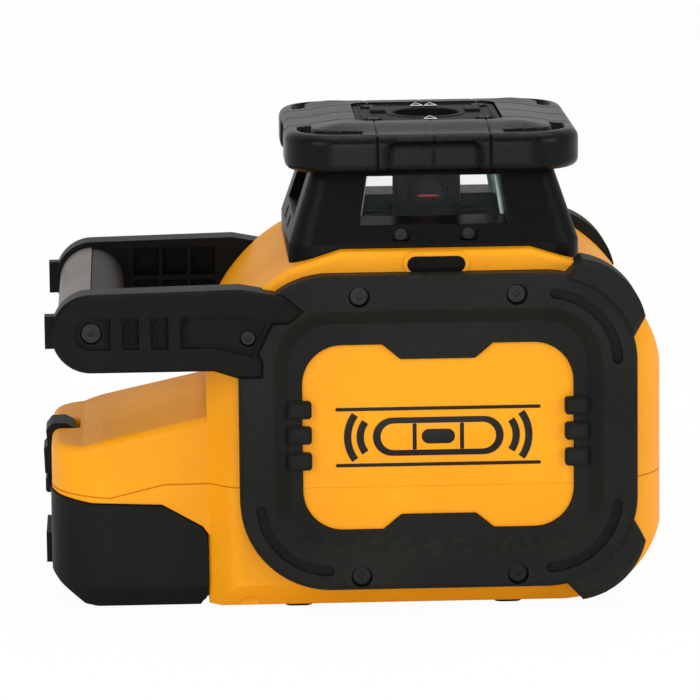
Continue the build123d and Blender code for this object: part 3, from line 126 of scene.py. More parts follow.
def grid(points: Array, wrap_rows: bool = False, wrap_columns: bool = False) -> Surface:
    """Surface over a grid: each point joins the next in its row and in its column.

    Args:
        points: rows by columns by 3.
        wrap_rows: the last row joins the first.
        wrap_columns: the last column joins the first.

    Returns:
        The grid's surface.
    """
    rows, columns = points.shape[:2]
    r, c = np.meshgrid(
        np.arange(rows if wrap_rows else rows - 1),
        np.arange(columns if wrap_columns else columns - 1),
        indexing="ij",
    )
    r_next, c_next = (r + 1) % rows, (c + 1) % columns
    corners = [r * columns + c, r_next * columns + c, r_next * columns + c_next, r * columns + c_next]
    return Surface(points.reshape(-1, 3), np.stack(corners, -1).reshape(-1, 4))


def joined(parts: Iterable[Surface]) -> Surface:
    """Several surfaces as one."""
    listed = list(parts)
    starts = np.cumsum([0] + [len(part.points) for part in listed[:-1]])
    quads = [part.quads + start for part, start in zip(listed, starts)]
    return Surface(np.concatenate([part.points for part in listed]), np.concatenate(quads))


def rounded_loop(half_w: float, half_h: float, radius: float, steps: int = 7) -> Array:
    """Closed rounded rectangle: each quarter turn of a circle, pushed out to its own corner.

    Args:
        half_w: half its width.
        half_h: half its height.
        radius: its corner radius.
        steps: points on each corner.

    Returns:
        The loop's points, n by 2, anticlockwise.
    """
    turn = np.linspace(0, math.pi / 2, steps)[None, :] + np.arange(4)[:, None] * math.pi / 2
    to_x = np.array([1, -1, -1, 1])[:, None] * (half_w - radius)
    to_y = np.array([1, 1, -1, -1])[:, None] * (half_h - radius)
    x = to_x + radius * np.cos(turn)
    y = to_y + radius * np.sin(turn)
    return np.stack([x.ravel(), y.ravel()], -1)


def rounded_levels(height: float, edge: float, steps: int = 4) -> list[tuple[float, float]]:
    """Inset and height of each ring of a plate: an upright wall, then a quarter-round edge."""
    turn = np.linspace(0, math.pi / 2, steps)
    curve = zip(edge * (1 - np.cos(turn)), height - edge + edge * np.sin(turn))
    return [(0.0, 0.0), *((float(inset), float(rise)) for inset, rise in curve)]


def even_loop(loop: Array, count: int) -> Array:
    """Closed loop taken again at equal steps along its length."""
    shut = np.concatenate([loop, loop[:1]])
    path = np.concatenate([[0.0], np.cumsum(np.linalg.norm(np.diff(shut, axis=0), axis=1))])
    at = np.linspace(0, path[-1], count, endpoint=False)
    return np.stack([np.interp(at, path, shut[:, axis]) for axis in (0, 1)], -1)


def plate(loop_of: Callable[[float], Array], height: float, edge: float) -> Surface:
    """Closed plate: a loop raised ring by ring to a rounded edge, both ends drawn to the middle.

    Args:
        loop_of: gives the outline, n by 2, at an inset.
        height: how far it stands out.
        edge: its edge radius.

    Returns:
        The plate, standing on out = 0.
    """
    levels = rounded_levels(height, edge)
    outline = loop_of(0.0)
    middle, count = outline.mean(0), len(outline)
    rings = [np.column_stack([loop_of(inset), np.full(count, rise)]) for inset, rise in levels]
    foot = np.tile([*middle, 0.0], (count, 1))
    crown = np.tile([*middle, height], (count, 1))
    return grid(np.stack([foot, *rings, crown]), wrap_columns=True)


def pad(half_w: float, half_h: float, radius: float, height: float, edge: float) -> Surface:
    """Rounded rectangular plate."""
    return plate(
        lambda inset: rounded_loop(half_w - inset, half_h - inset, max(radius - inset, 0.01)), height, edge
    )


def prism(outline: Sequence[tuple[float, float]], height: float, edge: float) -> Surface:
    """Plate of a convex outline: each inset draws it towards its middle by that share of its reach."""
    corners = np.array(outline, float)
    middle = corners.mean(0)
    reach = np.linalg.norm(corners - middle, axis=1).min()
    return plate(lambda inset: middle + (corners - middle) * (1 - 1.6 * inset / reach), height, edge)


def swept(profile: Array, path: Array, closed: bool) -> Surface:
    """Profile carried along a flat path: across the path by its first number, outwards by its second.

    Args:
        profile: closed section, m by 2.
        path: n by 2 points in the seat's plane.
        closed: the path's end joins its start.

    Returns:
        The bar or ring, its ends drawn shut where the path is open.
    """
    ahead = np.roll(path, -1, 0) - np.roll(path, 1, 0)
    if not closed:
        ahead[0], ahead[-1] = path[1] - path[0], path[-1] - path[-2]
    ahead /= np.linalg.norm(ahead, axis=1)[:, None]
    side = np.stack([-ahead[:, 1], ahead[:, 0]], -1)
    flat = path[:, None, :] + side[:, None, :] * profile[None, :, :1]
    rise = np.broadcast_to(profile[None, :, 1:2], (len(path), len(profile), 1))
    points = np.concatenate([flat, rise], -1)
    if closed:
        return grid(points, wrap_rows=True, wrap_columns=True)
    shut = [np.tile(points[end].mean(0), (len(profile), 1))[None] for end in (0, -1)]
    return grid(np.concatenate([shut[0], points, shut[1]]), wrap_columns=True)


def lathed(profile: Array, steps: int = 48, closed: bool = False) -> Surface:
    """Profile of (radius, height) points turned about the outward axis.

    Args:
        profile: n by 2; an open one starts and ends on the axis.
        steps: points round a full turn.
        closed: the profile is a loop, as on a ring.

    Returns:
        The turned surface.
    """
    turn = np.linspace(0, FULL_TURN, steps, endpoint=False)[:, None]
    radius, height = profile[None, :, 0], profile[None, :, 1]
    points = np.stack([radius * np.cos(turn), radius * np.sin(turn), height + 0 * turn], -1)
    return grid(points, wrap_rows=True, wrap_columns=closed)


def ring(radius: float, width: float, height: float, low: float = 0.0, steps: int = 48) -> Surface:
    """Ring whose section is a rounded rectangle."""
    section = rounded_loop(width / 2, height / 2, min(width, height) * 0.3, 4)
    return lathed(section + np.array([radius, low + height / 2]), steps, closed=True)


def bar(start: Sequence[float], end: Sequence[float], width: float, height: float) -> Surface:
    """Straight rounded bar between two points of the seat's plane."""
    a, b = np.array(start, float), np.array(end, float)
    half = np.linalg.norm(b - a) / 2 + width / 2
    tilt = math.degrees(math.atan2(*(b - a)[::-1]))
    middle = (a + b) / 2
    made = pad(half, width / 2, width * 0.49, height, min(height, width) * 0.3)
    return made.turned(tilt).moved(middle[0], middle[1])


def arc(centre: Sequence[float], radius: float, start: float, end: float, steps: int = 20) -> Array:
    """Points along a circle's arc between two angles in degrees."""
    turn = np.radians(np.linspace(start, end, steps))
    return np.array(centre) + radius * np.stack([np.cos(turn), np.sin(turn)], -1)


def ribbon(path: Array, width: float, height: float, closed: bool = False) -> Surface:
    """Flat rounded strip along a path."""
    section = rounded_loop(width / 2, height / 2, min(width, height) * 0.45, 3) + np.array([0, height / 2])
    return swept(section, path, closed)


def eased(share: Array) -> Array:
    """Smooth step from 0 to 1: three times the square less twice the cube of the clamped share."""
    held = np.clip(share, 0, 1)
    return held * held * (3 - 2 * held)


def with_height(loop: Array, height: float | Array) -> Array:
    """One ring: a flat loop at a height, or at one height per point."""
    return np.column_stack([loop, np.broadcast_to(height, len(loop))])[None]


def side_line(along: Array, offset: float) -> Array:
    """Straight side of a square outline: points along it, at an offset below its middle."""
    return np.stack([along, np.full_like(along, -offset)], -1)


def corner_line(reach: float, radius: float, normals: Array) -> Array:
    """Round corner past a straight side: its centre plus its radius along each normal."""
    return np.array([reach, -reach]) + radius * normals


def foot_weight(height: Array, low: float, reach: float) -> Array:
    """How far a foot's rounding draws in at a height above the lowest ring."""
    rise = np.clip((height - low) / reach, 0, 1)
    return reach * (1 - np.sqrt(1 - (1 - rise) ** 2))


def threaded_sleeve(outside: Array, minor: float, depth: float, pitch: float, length: float) -> Surface:
    """Sleeve with a threaded bore.

    At a height and an angle, the bore's radius is the minor radius plus the depth times a flattened
    triangle wave of height over pitch less the share of a full turn, faded out at both mouths.

    Args:
        outside: (radius, height) points of the outer wall from the far mouth back to the near one.
        minor: the thread's minor radius.
        depth: how deep it is cut.
        pitch: height of one turn.
        length: height of the bore.

    Returns:
        The sleeve, closed, with its near mouth at height 0.
    """
    turn = np.linspace(0, FULL_TURN, 96, endpoint=False)[:, None]
    height = np.linspace(0, length, int(length / pitch * 12))[None, :]
    wave = 2 * np.abs((height / pitch - turn / FULL_TURN) % 1 - 0.5)
    fade = np.clip(np.minimum(height, length - height) / (0.6 * pitch), 0, 1)
    radius = minor + depth * fade * np.clip((wave - 0.08) / 0.8, 0, 1)
    bore = np.stack([radius * np.cos(turn), radius * np.sin(turn), height + 0 * turn], -1)
    wall_r, wall_h = outside[None, :, 0], outside[None, :, 1]
    wall = np.stack([wall_r * np.cos(turn), wall_r * np.sin(turn), wall_h + 0 * turn], -1)
    return grid(np.concatenate([bore, wall], 1), wrap_rows=True, wrap_columns=True)


def make_piece(
    name: str, surface: Surface, place: Seat, body: str, smooth: float = 38.0
) -> bpy.types.Object:
    """Object at the origin made of a surface, with seams merged and faces turned outwards.

    Args:
        name: the piece's name.
        surface: its points and quads, in local millimetres.
        place: the seat that it stands on.
        body: the body that it rides on.
        smooth: edges below this angle, in degrees, are shaded smooth.

    Returns:
        The finished object, riding on its body.
    """
    mesh = bpy.data.meshes.new(name)
    points = place.place(surface.points).astype(np.float32)
    mesh.vertices.add(len(points))
    mesh.vertices.foreach_set("co", points.ravel())
    mesh.loops.add(surface.quads.size)
    mesh.loops.foreach_set("vertex_index", surface.quads.astype(np.int32).ravel())
    mesh.polygons.add(len(surface.quads))
    mesh.polygons.foreach_set("loop_start", np.arange(0, surface.quads.size, 4, dtype=np.int32))
    mesh.update(calc_edges=True)
    shell = bmesh.new()
    shell.from_mesh(mesh)
    bmesh.ops.remove_doubles(shell, verts=shell.verts, dist=2e-6)
    bmesh.ops.dissolve_degenerate(shell, edges=shell.edges, dist=1e-6)
    bmesh.ops.recalc_face_normals(shell, faces=shell.faces)
    shell.to_mesh(mesh)
    shell.free()
    mesh.shade_smooth()
    mesh.set_sharp_from_angle(angle=math.radians(smooth))
    piece = bpy.data.objects.new(name, mesh)
    bpy.context.scene.collection.objects.link(piece)
    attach(piece, body)
    LOG.info("built %s on %s: %d faces", name, body, len(mesh.polygons))
    return piece


# ------------------------------------------------------------------ shader kit
def linear(red: int, green: int, blue: int) -> Rgb:
    """Scene-linear colour of a display colour in 0 to 255."""
    share = np.array([red, green, blue]) / 255
    low, high = share / 12.92, ((share + 0.055) / 1.055) ** 2.4
    return tuple(float(v) for v in np.where(share <= 0.04045, low, high))


@dataclass(frozen=True)
class Graph:
    """A shader node tree with short ways to add and feed its nodes."""

    tree: bpy.types.NodeTree

    def add(self, kind: str, sockets: Optional[Sockets] = None, **settings: object) -> bpy.types.Node:
        """Adds a node.

        Args:
            kind: the node's type without its ShaderNode prefix.
            sockets: input name or index to a value, a colour or another node's output.
            settings: the node's own properties.

        Returns:
            The node.
        """
        node = self.tree.nodes.new("ShaderNode" + kind)
        for setting, value in settings.items():
            setattr(node, setting, value)
        for key, value in (sockets or {}).items():
            socket = node.inputs[key]
            if isinstance(value, bpy.types.NodeSocket):
                self.tree.links.new(value, socket)
            elif socket.type == "RGBA":
                socket.default_value = (*value, 1.0)
            else:
                socket.default_value = value
        return node

    def math(self, operation: str, *values: object) -> bpy.types.NodeSocket:
        """Output of a Math node."""
        node = self.add("Math", dict(enumerate(values)), operation=operation)
        return node.outputs[0]

    def mapped(
        self, value: object, low: float, high: float, to_low: float, to_high: float
    ) -> bpy.types.NodeSocket:
        """A value carried from one range to another, clamped."""
        sockets = {0: value, 1: low, 2: high, 3: to_low, 4: to_high}
        return self.add("MapRange", sockets).outputs[0]

    def blended(
        self, first: object, first_share: float, second: object, second_share: float
    ) -> bpy.types.NodeSocket:
        """Sum of two values, each times its share."""
        return self.math(
            "ADD", self.math("MULTIPLY", first, first_share), self.math("MULTIPLY", second, second_share)
        )

    def mixed(self, share: object, first: object, second: object) -> bpy.types.NodeSocket:
        """Colour between two colours."""
        node = self.add("Mix", data_type="RGBA")
        for key, value in ((0, share), (6, first), (7, second)):
            if isinstance(value, bpy.types.NodeSocket):
                self.tree.links.new(value, node.inputs[key])
            elif key:
                node.inputs[key].default_value = (*value, 1.0)
            else:
                node.inputs[key].default_value = value
        return node.outputs[2]

    def place_group(self, group: bpy.types.NodeTree, sockets: Sockets) -> bpy.types.Node:
        """Adds a node group with its own values."""
        node = self.tree.nodes.new("ShaderNodeGroup")
        node.node_tree = group
        for key, value in sockets.items():
            if isinstance(value, bpy.types.NodeSocket):
                self.tree.links.new(value, node.inputs[key])
            elif node.inputs[key].type == "RGBA":
                node.inputs[key].default_value = (*value, 1.0)
            else:
                node.inputs[key].default_value = value
        return node


def start_group(
    name: str, inputs: dict[str, str], outputs: dict[str, str]
) -> tuple[Graph, bpy.types.Node, bpy.types.Node]:
    """New shader group.

    Args:
        name: the group's name.
        inputs: socket name to Float, Color or Vector.
        outputs: the same for its outputs.

    Returns:
        The group's graph, its input node and its output node.
    """
    tree = bpy.data.node_groups.new(name, "ShaderNodeTree")
    for way, sockets in (("INPUT", inputs), ("OUTPUT", outputs)):
        for socket, kind in sockets.items():
            tree.interface.new_socket(socket, in_out=way, socket_type="NodeSocket" + kind)
    return Graph(tree), tree.nodes.new("NodeGroupInput"), tree.nodes.new("NodeGroupOutput")


@lru_cache
def edge_group() -> bpy.types.NodeTree:
    """Softened edges: a rounded normal, and a patchy mask where it leaves the flat one."""
    graph, given, made = start_group(
        "edge_wear",
        {"Radius": "Float", "Strength": "Float", "Patch Scale": "Float", "Vector": "Vector"},
        {"Mask": "Float", "Normal": "Vector"},
    )
    rounded = graph.add("Bevel", {"Radius": given.outputs["Radius"]}, samples=4)
    facing = graph.add("NewGeometry")
    likeness = graph.add(
        "VectorMath", {0: rounded.outputs[0], 1: facing.outputs["True Normal"]}, operation="DOT_PRODUCT"
    )
    edge = graph.mapped(likeness.outputs["Value"], 0.985, 0.80, 0.0, 1.0)
    vector, patch_scale = given.outputs["Vector"], given.outputs["Patch Scale"]
    patches = graph.add("TexNoise", {"Vector": vector, "Scale": patch_scale, "Detail": 5.0, "Roughness": 0.7})
    worn = graph.mapped(patches.outputs[0], 0.42, 0.68, 0.15, 1.0)
    mask = graph.math("MULTIPLY", graph.math("MULTIPLY", edge, worn), given.outputs["Strength"])
    graph.tree.links.new(mask, made.inputs["Mask"])
    graph.tree.links.new(rounded.outputs[0], made.inputs["Normal"])
    return graph.tree


@lru_cache
def drift_group() -> bpy.types.NodeTree:
    """Slow change between two colours, with a fine mottle on top."""
    graph, given, made = start_group(
        "colour_drift",
        {"First": "Color", "Second": "Color", "Scale": "Float", "Vector": "Vector"},
        {"Color": "Color", "Mask": "Float"},
    )
    vector, scale = given.outputs["Vector"], given.outputs["Scale"]
    slow = graph.add("TexNoise", {"Vector": vector, "Scale": scale, "Detail": 3.0})
    fine_scale = graph.math("MULTIPLY", scale, 23.0)
    fine = graph.add("TexNoise", {"Vector": vector, "Scale": fine_scale, "Detail": 6.0})
    mask = graph.mapped(graph.blended(slow.outputs[0], 0.7, fine.outputs[0], 0.3), 0.36, 0.64, 0.0, 1.0)
    colour = graph.mixed(mask, given.outputs["First"], given.outputs["Second"])
    graph.tree.links.new(colour, made.inputs["Color"])
    graph.tree.links.new(mask, made.inputs["Mask"])
    return graph.tree


@lru_cache
def dust_group() -> bpy.types.NodeTree:
    """Fine dust: more on faces that look up, broken by noise."""
    graph, given, made = start_group(
        "settled_dust", {"Amount": "Float", "Scale": "Float", "Vector": "Vector"}, {"Mask": "Float"}
    )
    facing = graph.add("NewGeometry")
    up = graph.add("SeparateXYZ", {0: facing.outputs["Normal"]})
    upward = graph.mapped(up.outputs["Z"], 0.2, 1.0, 0.18, 1.0)
    vector, scale = given.outputs["Vector"], given.outputs["Scale"]
    specks = graph.add("TexNoise", {"Vector": vector, "Scale": scale, "Detail": 8.0, "Roughness": 0.75})
    broken = graph.mapped(specks.outputs[0], 0.45, 0.75, 0.0, 1.0)
    mask = graph.math("MULTIPLY", graph.math("MULTIPLY", upward, broken), given.outputs["Amount"])
    graph.tree.links.new(mask, made.inputs["Mask"])
    return graph.tree


@lru_cache
def scuff_group() -> bpy.types.NodeTree:
    """Hairline scuffs: the thin borders of stretched cells, kept only in patches."""
    graph, given, made = start_group(
        "hairline_scuffs", {"Amount": "Float", "Scale": "Float", "Vector": "Vector"}, {"Mask": "Float"}
    )
    bent = graph.add("TexNoise", {"Vector": given.outputs["Vector"], "Scale": 18.0, "Detail": 2.0})
    shift = graph.add("VectorMath", {0: bent.outputs["Color"], 1: (0.03, 0.03, 0.03)}, operation="MULTIPLY")
    moved = graph.add("VectorMath", {0: given.outputs["Vector"], 1: shift.outputs[0]}, operation="ADD")
    scale = given.outputs["Scale"]
    cells = graph.add("TexVoronoi", {"Vector": moved.outputs[0], "Scale": scale}, feature="DISTANCE_TO_EDGE")
    line = graph.mapped(cells.outputs["Distance"], 0.0, 0.006, 1.0, 0.0)
    patches = graph.add("TexNoise", {"Vector": given.outputs["Vector"], "Scale": 31.0, "Detail": 3.0})
    kept = graph.mapped(patches.outputs[0], 0.52, 0.66, 0.0, 1.0)
    mask = graph.math("MULTIPLY", graph.math("MULTIPLY", line, kept), given.outputs["Amount"])
    graph.tree.links.new(mask, made.inputs["Mask"])
    return graph.tree


class Grain(Enum):
    """Surface textures."""

    SPARK = "spark-eroded mould"
    MATT = "matt rubber"
    PEEL = "faint orange peel"
    CAST = "as-cast skin"
    TURNED = "turned rings"
    BRUSHED = "brushed lines"


@lru_cache
def grain_group(style: Grain) -> bpy.types.NodeTree:
    """Height and mask of one surface texture.

    Args:
        style: the texture.

    Returns:
        The group, with a Scale in turns or cells a metre.
    """
    graph, given, made = start_group(
        "grain_" + style.name.lower(),
        {"Scale": "Float", "Vector": "Vector"},
        {"Height": "Float", "Mask": "Float"},
    )
    vector, scale = given.outputs["Vector"], given.outputs["Scale"]
    if style in (Grain.SPARK, Grain.CAST):
        cells = graph.add(
            "TexVoronoi", {"Vector": vector, "Scale": scale, "Smoothness": 0.6}, feature="SMOOTH_F1"
        )
        noise = graph.add("TexNoise", {"Vector": vector, "Scale": scale, "Detail": 4.0, "Roughness": 0.65})
        weight = 0.55 if style is Grain.SPARK else 0.3
        height = graph.blended(cells.outputs["Distance"], weight, noise.outputs[0], 1 - weight)
    elif style is Grain.TURNED:
        rings = graph.add(
            "TexWave",
            {"Vector": vector, "Scale": scale, "Distortion": 0.4, "Detail": 2.0, "Detail Scale": 2.0},
            wave_type="RINGS",
            rings_direction="Z",
        )
        height = rings.outputs["Fac"]
    elif style is Grain.BRUSHED:
        long = graph.add("Mapping", {"Vector": vector, "Scale": (0.04, 1.0, 1.0)})
        noise = graph.add("TexNoise", {"Vector": long.outputs[0], "Scale": scale, "Detail": 5.0})
        height = noise.outputs[0]
    else:
        noise = graph.add("TexNoise", {"Vector": vector, "Scale": scale, "Detail": 7.0, "Roughness": 0.62})
        height = noise.outputs[0]
    graph.tree.links.new(height, made.inputs["Height"])
    graph.tree.links.new(graph.mapped(height, 0.3, 0.7, 0.0, 1.0), made.inputs["Mask"])
    return graph.tree


@dataclass(frozen=True)
class Finish:
    """An opaque finish: two close colours, a grain, softened worn edges, scuffs and dust."""

    name: str
    first: Rgb
    second: Rgb
    roughness: float = 0.5
    spread: float = 0.06
    grain: Grain = Grain.SPARK
    grain_mm: float = 0.45
    depth_mm: float = 0.03
    edge_mm: float = 0.5
    wear: float = 0.25
    wear_colour: Rgb = (0.30, 0.29, 0.27)
    dust: float = 0.10
    dust_colour: Rgb = (0.42, 0.39, 0.34)
    scuffs: float = 0.0
    drift_per_m: float = 22.0
    metallic: float = 0.0
    specular: float = 0.5
    coat: float = 0.0
    coat_roughness: float = 0.15
    centre: tuple[float, float, float] = (0.0, 0.0, 0.0)
    turn: tuple[float, float, float] = (0.0, 0.0, 0.0)

    def material(self) -> bpy.types.Material:
        """The finish as a material, made once."""
        return build_finish(self)


@lru_cache
def build_finish(finish: Finish) -> bpy.types.Material:
    """Material of an opaque finish.

    Args:
        finish: its values.

    Returns:
        The material, its patterns read from Object coordinates.
    """
    material = bpy.data.materials.new(finish.name)
    material.use_nodes = True
    material.diffuse_color = (*finish.first, 1.0)
    material.node_tree.nodes.clear()
    graph = Graph(material.node_tree)
    object_at = graph.add("TexCoord").outputs["Object"]
    vector = graph.add(
        "Mapping",
        {"Vector": object_at, "Location": tuple(-c for c in finish.centre), "Rotation": finish.turn},
        vector_type="POINT",
    ).outputs[0]
    edge = graph.place_group(
        edge_group(),
        {"Radius": finish.edge_mm * MM, "Strength": finish.wear, "Patch Scale": 90.0, "Vector": object_at},
    )
    grain = graph.place_group(
        grain_group(finish.grain), {"Scale": 1 / (finish.grain_mm * MM), "Vector": vector}
    )
    drift = graph.place_group(
        drift_group(),
        {"First": finish.first, "Second": finish.second, "Scale": finish.drift_per_m, "Vector": object_at},
    )
    dust = graph.place_group(dust_group(), {"Amount": finish.dust, "Scale": 260.0, "Vector": object_at})
    colour = graph.mixed(edge.outputs["Mask"], drift.outputs["Color"], finish.wear_colour)
    colour = graph.mixed(dust.outputs["Mask"], colour, finish.dust_colour)
    rough_mask = graph.blended(grain.outputs["Mask"], 0.6, drift.outputs["Mask"], 0.4)
    smoothest, roughest = finish.roughness - finish.spread, finish.roughness + finish.spread
    roughness = graph.mapped(rough_mask, 0.0, 1.0, smoothest, roughest)
    roughness = graph.math("ADD", roughness, graph.math("MULTIPLY", dust.outputs["Mask"], 0.3))
    height = grain.outputs["Height"]
    if finish.scuffs:
        scuff = graph.place_group(
            scuff_group(), {"Amount": finish.scuffs, "Scale": 34.0, "Vector": object_at}
        )
        colour = graph.mixed(scuff.outputs["Mask"], colour, finish.wear_colour)
        height = graph.math("SUBTRACT", height, scuff.outputs["Mask"])
    bump = graph.add(
        "Bump",
        {
            "Strength": 1.0,
            "Distance": finish.depth_mm * MM,
            "Height": height,
            "Normal": edge.outputs["Normal"],
        },
    )
    shader = graph.add(
        "BsdfPrincipled",
        {
            "Base Color": colour,
            "Roughness": roughness,
            "Metallic": finish.metallic,
            "Specular IOR Level": finish.specular,
            "Coat Weight": finish.coat,
            "Coat Roughness": finish.coat_roughness,
            "Normal": bump.outputs[0],
        },
    )
    graph.add("OutputMaterial", {"Surface": shader.outputs[0]})
    return material


@dataclass(frozen=True)
class Glass:
    """A clear or tinted glass with faint smears; a dark one is an opaque coated window."""

    name: str
    tint: Rgb
    second: Rgb
    transmission: float = 1.0
    roughness: float = 0.03
    ior: float = 1.5
    coat: float = 0.0
    specular: float = 0.5
    smear: float = 0.05
    alpha: float = 1.0
    glow: Optional[Rgb] = None

    def material(self) -> bpy.types.Material:
        """The glass as a material, made once."""
        return build_glass(self)


@lru_cache
def build_glass(glass: Glass) -> bpy.types.Material:
    """Material of a glass: smears vary its roughness, and a drift varies its tint.

    Args:
        glass: its values.

    Returns:
        The material.
    """
    material = bpy.data.materials.new(glass.name)
    material.use_nodes = True
    material.diffuse_color = (*glass.tint, 1.0)
    material.node_tree.nodes.clear()
    graph = Graph(material.node_tree)
    vector = graph.add("TexCoord").outputs["Object"]
    drift = graph.place_group(
        drift_group(), {"First": glass.tint, "Second": glass.second, "Scale": 60.0, "Vector": vector}
    )
    smears = graph.place_group(grain_group(Grain.BRUSHED), {"Scale": 220.0, "Vector": vector})
    roughness = graph.mapped(smears.outputs["Mask"], 0.0, 1.0, glass.roughness, glass.roughness + glass.smear)
    edge = graph.place_group(
        edge_group(), {"Radius": 0.3 * MM, "Strength": 0.5, "Patch Scale": 60.0, "Vector": vector}
    )
    sockets: Sockets = {
        "Base Color": drift.outputs["Color"],
        "Roughness": roughness,
        "IOR": glass.ior,
        "Transmission Weight": glass.transmission,
        "Coat Weight": glass.coat,
        "Specular IOR Level": glass.specular,
        "Normal": edge.outputs["Normal"],
    }
    if glass.alpha < 1:
        thin, thick = 0.7 * glass.alpha, 1.3 * glass.alpha
        sockets["Alpha"] = graph.mapped(smears.outputs["Mask"], 0.0, 1.0, thin, thick)
    if glass.glow:
        dimmed = tuple(0.8 * c for c in glass.glow)
        sockets["Emission Color"] = graph.mixed(smears.outputs["Mask"], glass.glow, dimmed)
        sockets["Emission Strength"] = 1.0
    shader = graph.add("BsdfPrincipled", sockets)
    graph.add("OutputMaterial", {"Surface": shader.outputs[0]})
    return material


HOUSING = Finish(
    "housing_yellow", linear(243, 160, 0), linear(236, 152, 0), 0.46, 0.05, Grain.SPARK, 0.55, 0.018, 0.6,
    wear=0.10, wear_colour=linear(252, 196, 92), dust=0.04, scuffs=0.05, specular=0.22,
)
BUMPER = Finish(
    "bumper_rubber", linear(28, 29, 26), linear(21, 22, 20), 0.52, 0.08, Grain.MATT, 0.5, 0.04, 0.6,
    wear=0.22, wear_colour=linear(62, 62, 58), dust=0.04, scuffs=0.08, specular=0.1,
)
ARM = Finish(
    "arm_plastic", linear(14, 14, 12), linear(10, 10, 9), 0.40, 0.07, Grain.SPARK, 0.6, 0.03, 0.7,
    wear=0.3, wear_colour=linear(56, 55, 50), dust=0.03, scuffs=0.07, specular=0.08,
)
GRIP_GREY = Finish(
    "grip_grey", linear(104, 98, 93), linear(94, 89, 84), 0.36, 0.06, Grain.PEEL, 0.9, 0.02, 0.6,
    wear=0.15, wear_colour=linear(170, 166, 158), dust=0.04, scuffs=0.08, specular=0.3,
)
GRIP_DARK = Finish(
    "grip_dark", linear(36, 34, 32), linear(28, 27, 25), 0.55, 0.08, Grain.MATT, 0.5, 0.05, 0.6,
    wear=0.2, wear_colour=linear(84, 81, 76), dust=0.05, specular=0.25,
)
CAGE = Finish(
    "cage_black", linear(9, 9, 9), linear(6, 6, 6), 0.36, 0.07, Grain.SPARK, 0.7, 0.02, 0.7,
    wear=0.35, wear_colour=linear(56, 58, 58), dust=0.02, scuffs=0.05, specular=0.09,
)
CAP = Finish(
    "cap_rubber", linear(9, 9, 8), linear(6, 6, 6), 0.27, 0.07, Grain.MATT, 0.5, 0.03, 0.5,
    wear=0.25, wear_colour=linear(50, 51, 50), dust=0.05, scuffs=0.05, specular=0.12,
)
PLATE = Finish(
    "plate_black", linear(12, 12, 12), linear(9, 9, 9), 0.5, 0.06, Grain.SPARK, 0.6, 0.05, 0.4,
    wear=0.25, wear_colour=linear(52, 53, 53), dust=0.06, specular=0.10,
)
COVER = Finish(
    "cover_black", linear(19, 20, 19), linear(14, 15, 14), 0.48, 0.06, Grain.SPARK, 0.6, 0.04, 0.6,
    wear=0.25, wear_colour=linear(58, 59, 55), dust=0.03, scuffs=0.07, specular=0.10,
)
KEYPAD = Finish(
    "keypad_black", linear(24, 24, 25), linear(20, 20, 21), 0.4, 0.05, Grain.PEEL, 0.7, 0.02, 0.3,
    wear=0.1, dust=0.06,
)
KEY = Finish(
    "key_grey", linear(92, 92, 94), linear(82, 82, 85), 0.6, 0.06, Grain.MATT, 0.4, 0.03, 0.4,
    wear=0.2, wear_colour=linear(140, 140, 142), dust=0.06, specular=0.3,
)
PACK = Finish(
    "pack_black", linear(32, 32, 32), linear(27, 27, 27), 0.5, 0.06, Grain.SPARK, 0.6, 0.04, 0.5, wear=0.2
)
RELEASE = Finish(
    "release_grey", linear(132, 130, 126), linear(122, 120, 117), 0.5, 0.06, Grain.PEEL, 0.8, 0.02, 0.4,
    wear=0.2, wear_colour=linear(190, 188, 182),
)
BOARD = Finish(
    "board_green", (0.012, 0.085, 0.035), (0.010, 0.070, 0.030), 0.35, 0.05, Grain.PEEL, 1.2, 0.01, 0.2,
    wear=0.1,
)
GEAR = Finish(
    "gear_white", (0.72, 0.70, 0.64), (0.66, 0.64, 0.58), 0.45, 0.05, Grain.PEEL, 0.8, 0.015, 0.2,
    wear=0.1, wear_colour=(0.55, 0.52, 0.46),
)
ROTOR = Finish(
    "rotor_black", linear(8, 8, 9), linear(6, 6, 7), 0.28, 0.06, Grain.PEEL, 0.6, 0.012, 0.4,
    wear=0.35, wear_colour=linear(50, 54, 60), dust=0.01, specular=0.06,
)
PRINT_DARK = Finish(
    "print_dark", linear(20, 18, 16), linear(15, 14, 13), 0.42, 0.05, Grain.PEEL, 0.5, 0.01, 0.15,
    wear=0.1, wear_colour=linear(60, 56, 50), dust=0.02, specular=0.2,
)
PRINT_WHITE = Finish(
    "print_white", (0.80, 0.80, 0.79), (0.72, 0.72, 0.71), 0.5, 0.05, Grain.PEEL, 0.5, 0.01, 0.1,
    wear=0.2, wear_colour=(0.35, 0.35, 0.34), dust=0.03,
)
PRINT_YELLOW = Finish(
    "print_yellow", linear(243, 160, 0), linear(236, 152, 0), 0.46, 0.05, Grain.SPARK, 0.55, 0.01, 0.15,
    wear=0.1, wear_colour=linear(252, 196, 92), dust=0.02, specular=0.22,
)
BLACK_STEEL = Finish(
    "black_steel", linear(40, 40, 42), linear(30, 30, 32), 0.30, 0.06, Grain.PEEL, 0.3, 0.01, 0.25,
    wear=0.6, wear_colour=(0.34, 0.34, 0.36), metallic=0.9, dust=0.05,
)
BRIGHT_STEEL = Finish(
    "bright_steel", (0.62, 0.62, 0.64), (0.54, 0.54, 0.56), 0.24, 0.08, Grain.BRUSHED, 0.3, 0.01, 0.25,
    wear=0.2, wear_colour=(0.85, 0.85, 0.86), metallic=1.0, dust=0.04,
)
ALLOY = Finish(
    "insert_alloy", (0.66, 0.66, 0.68), (0.58, 0.58, 0.60), 0.30, 0.06, Grain.TURNED, 0.5, 0.012, 0.3,
    wear=0.25, wear_colour=(0.86, 0.86, 0.87), metallic=1.0, dust=0.05,
)
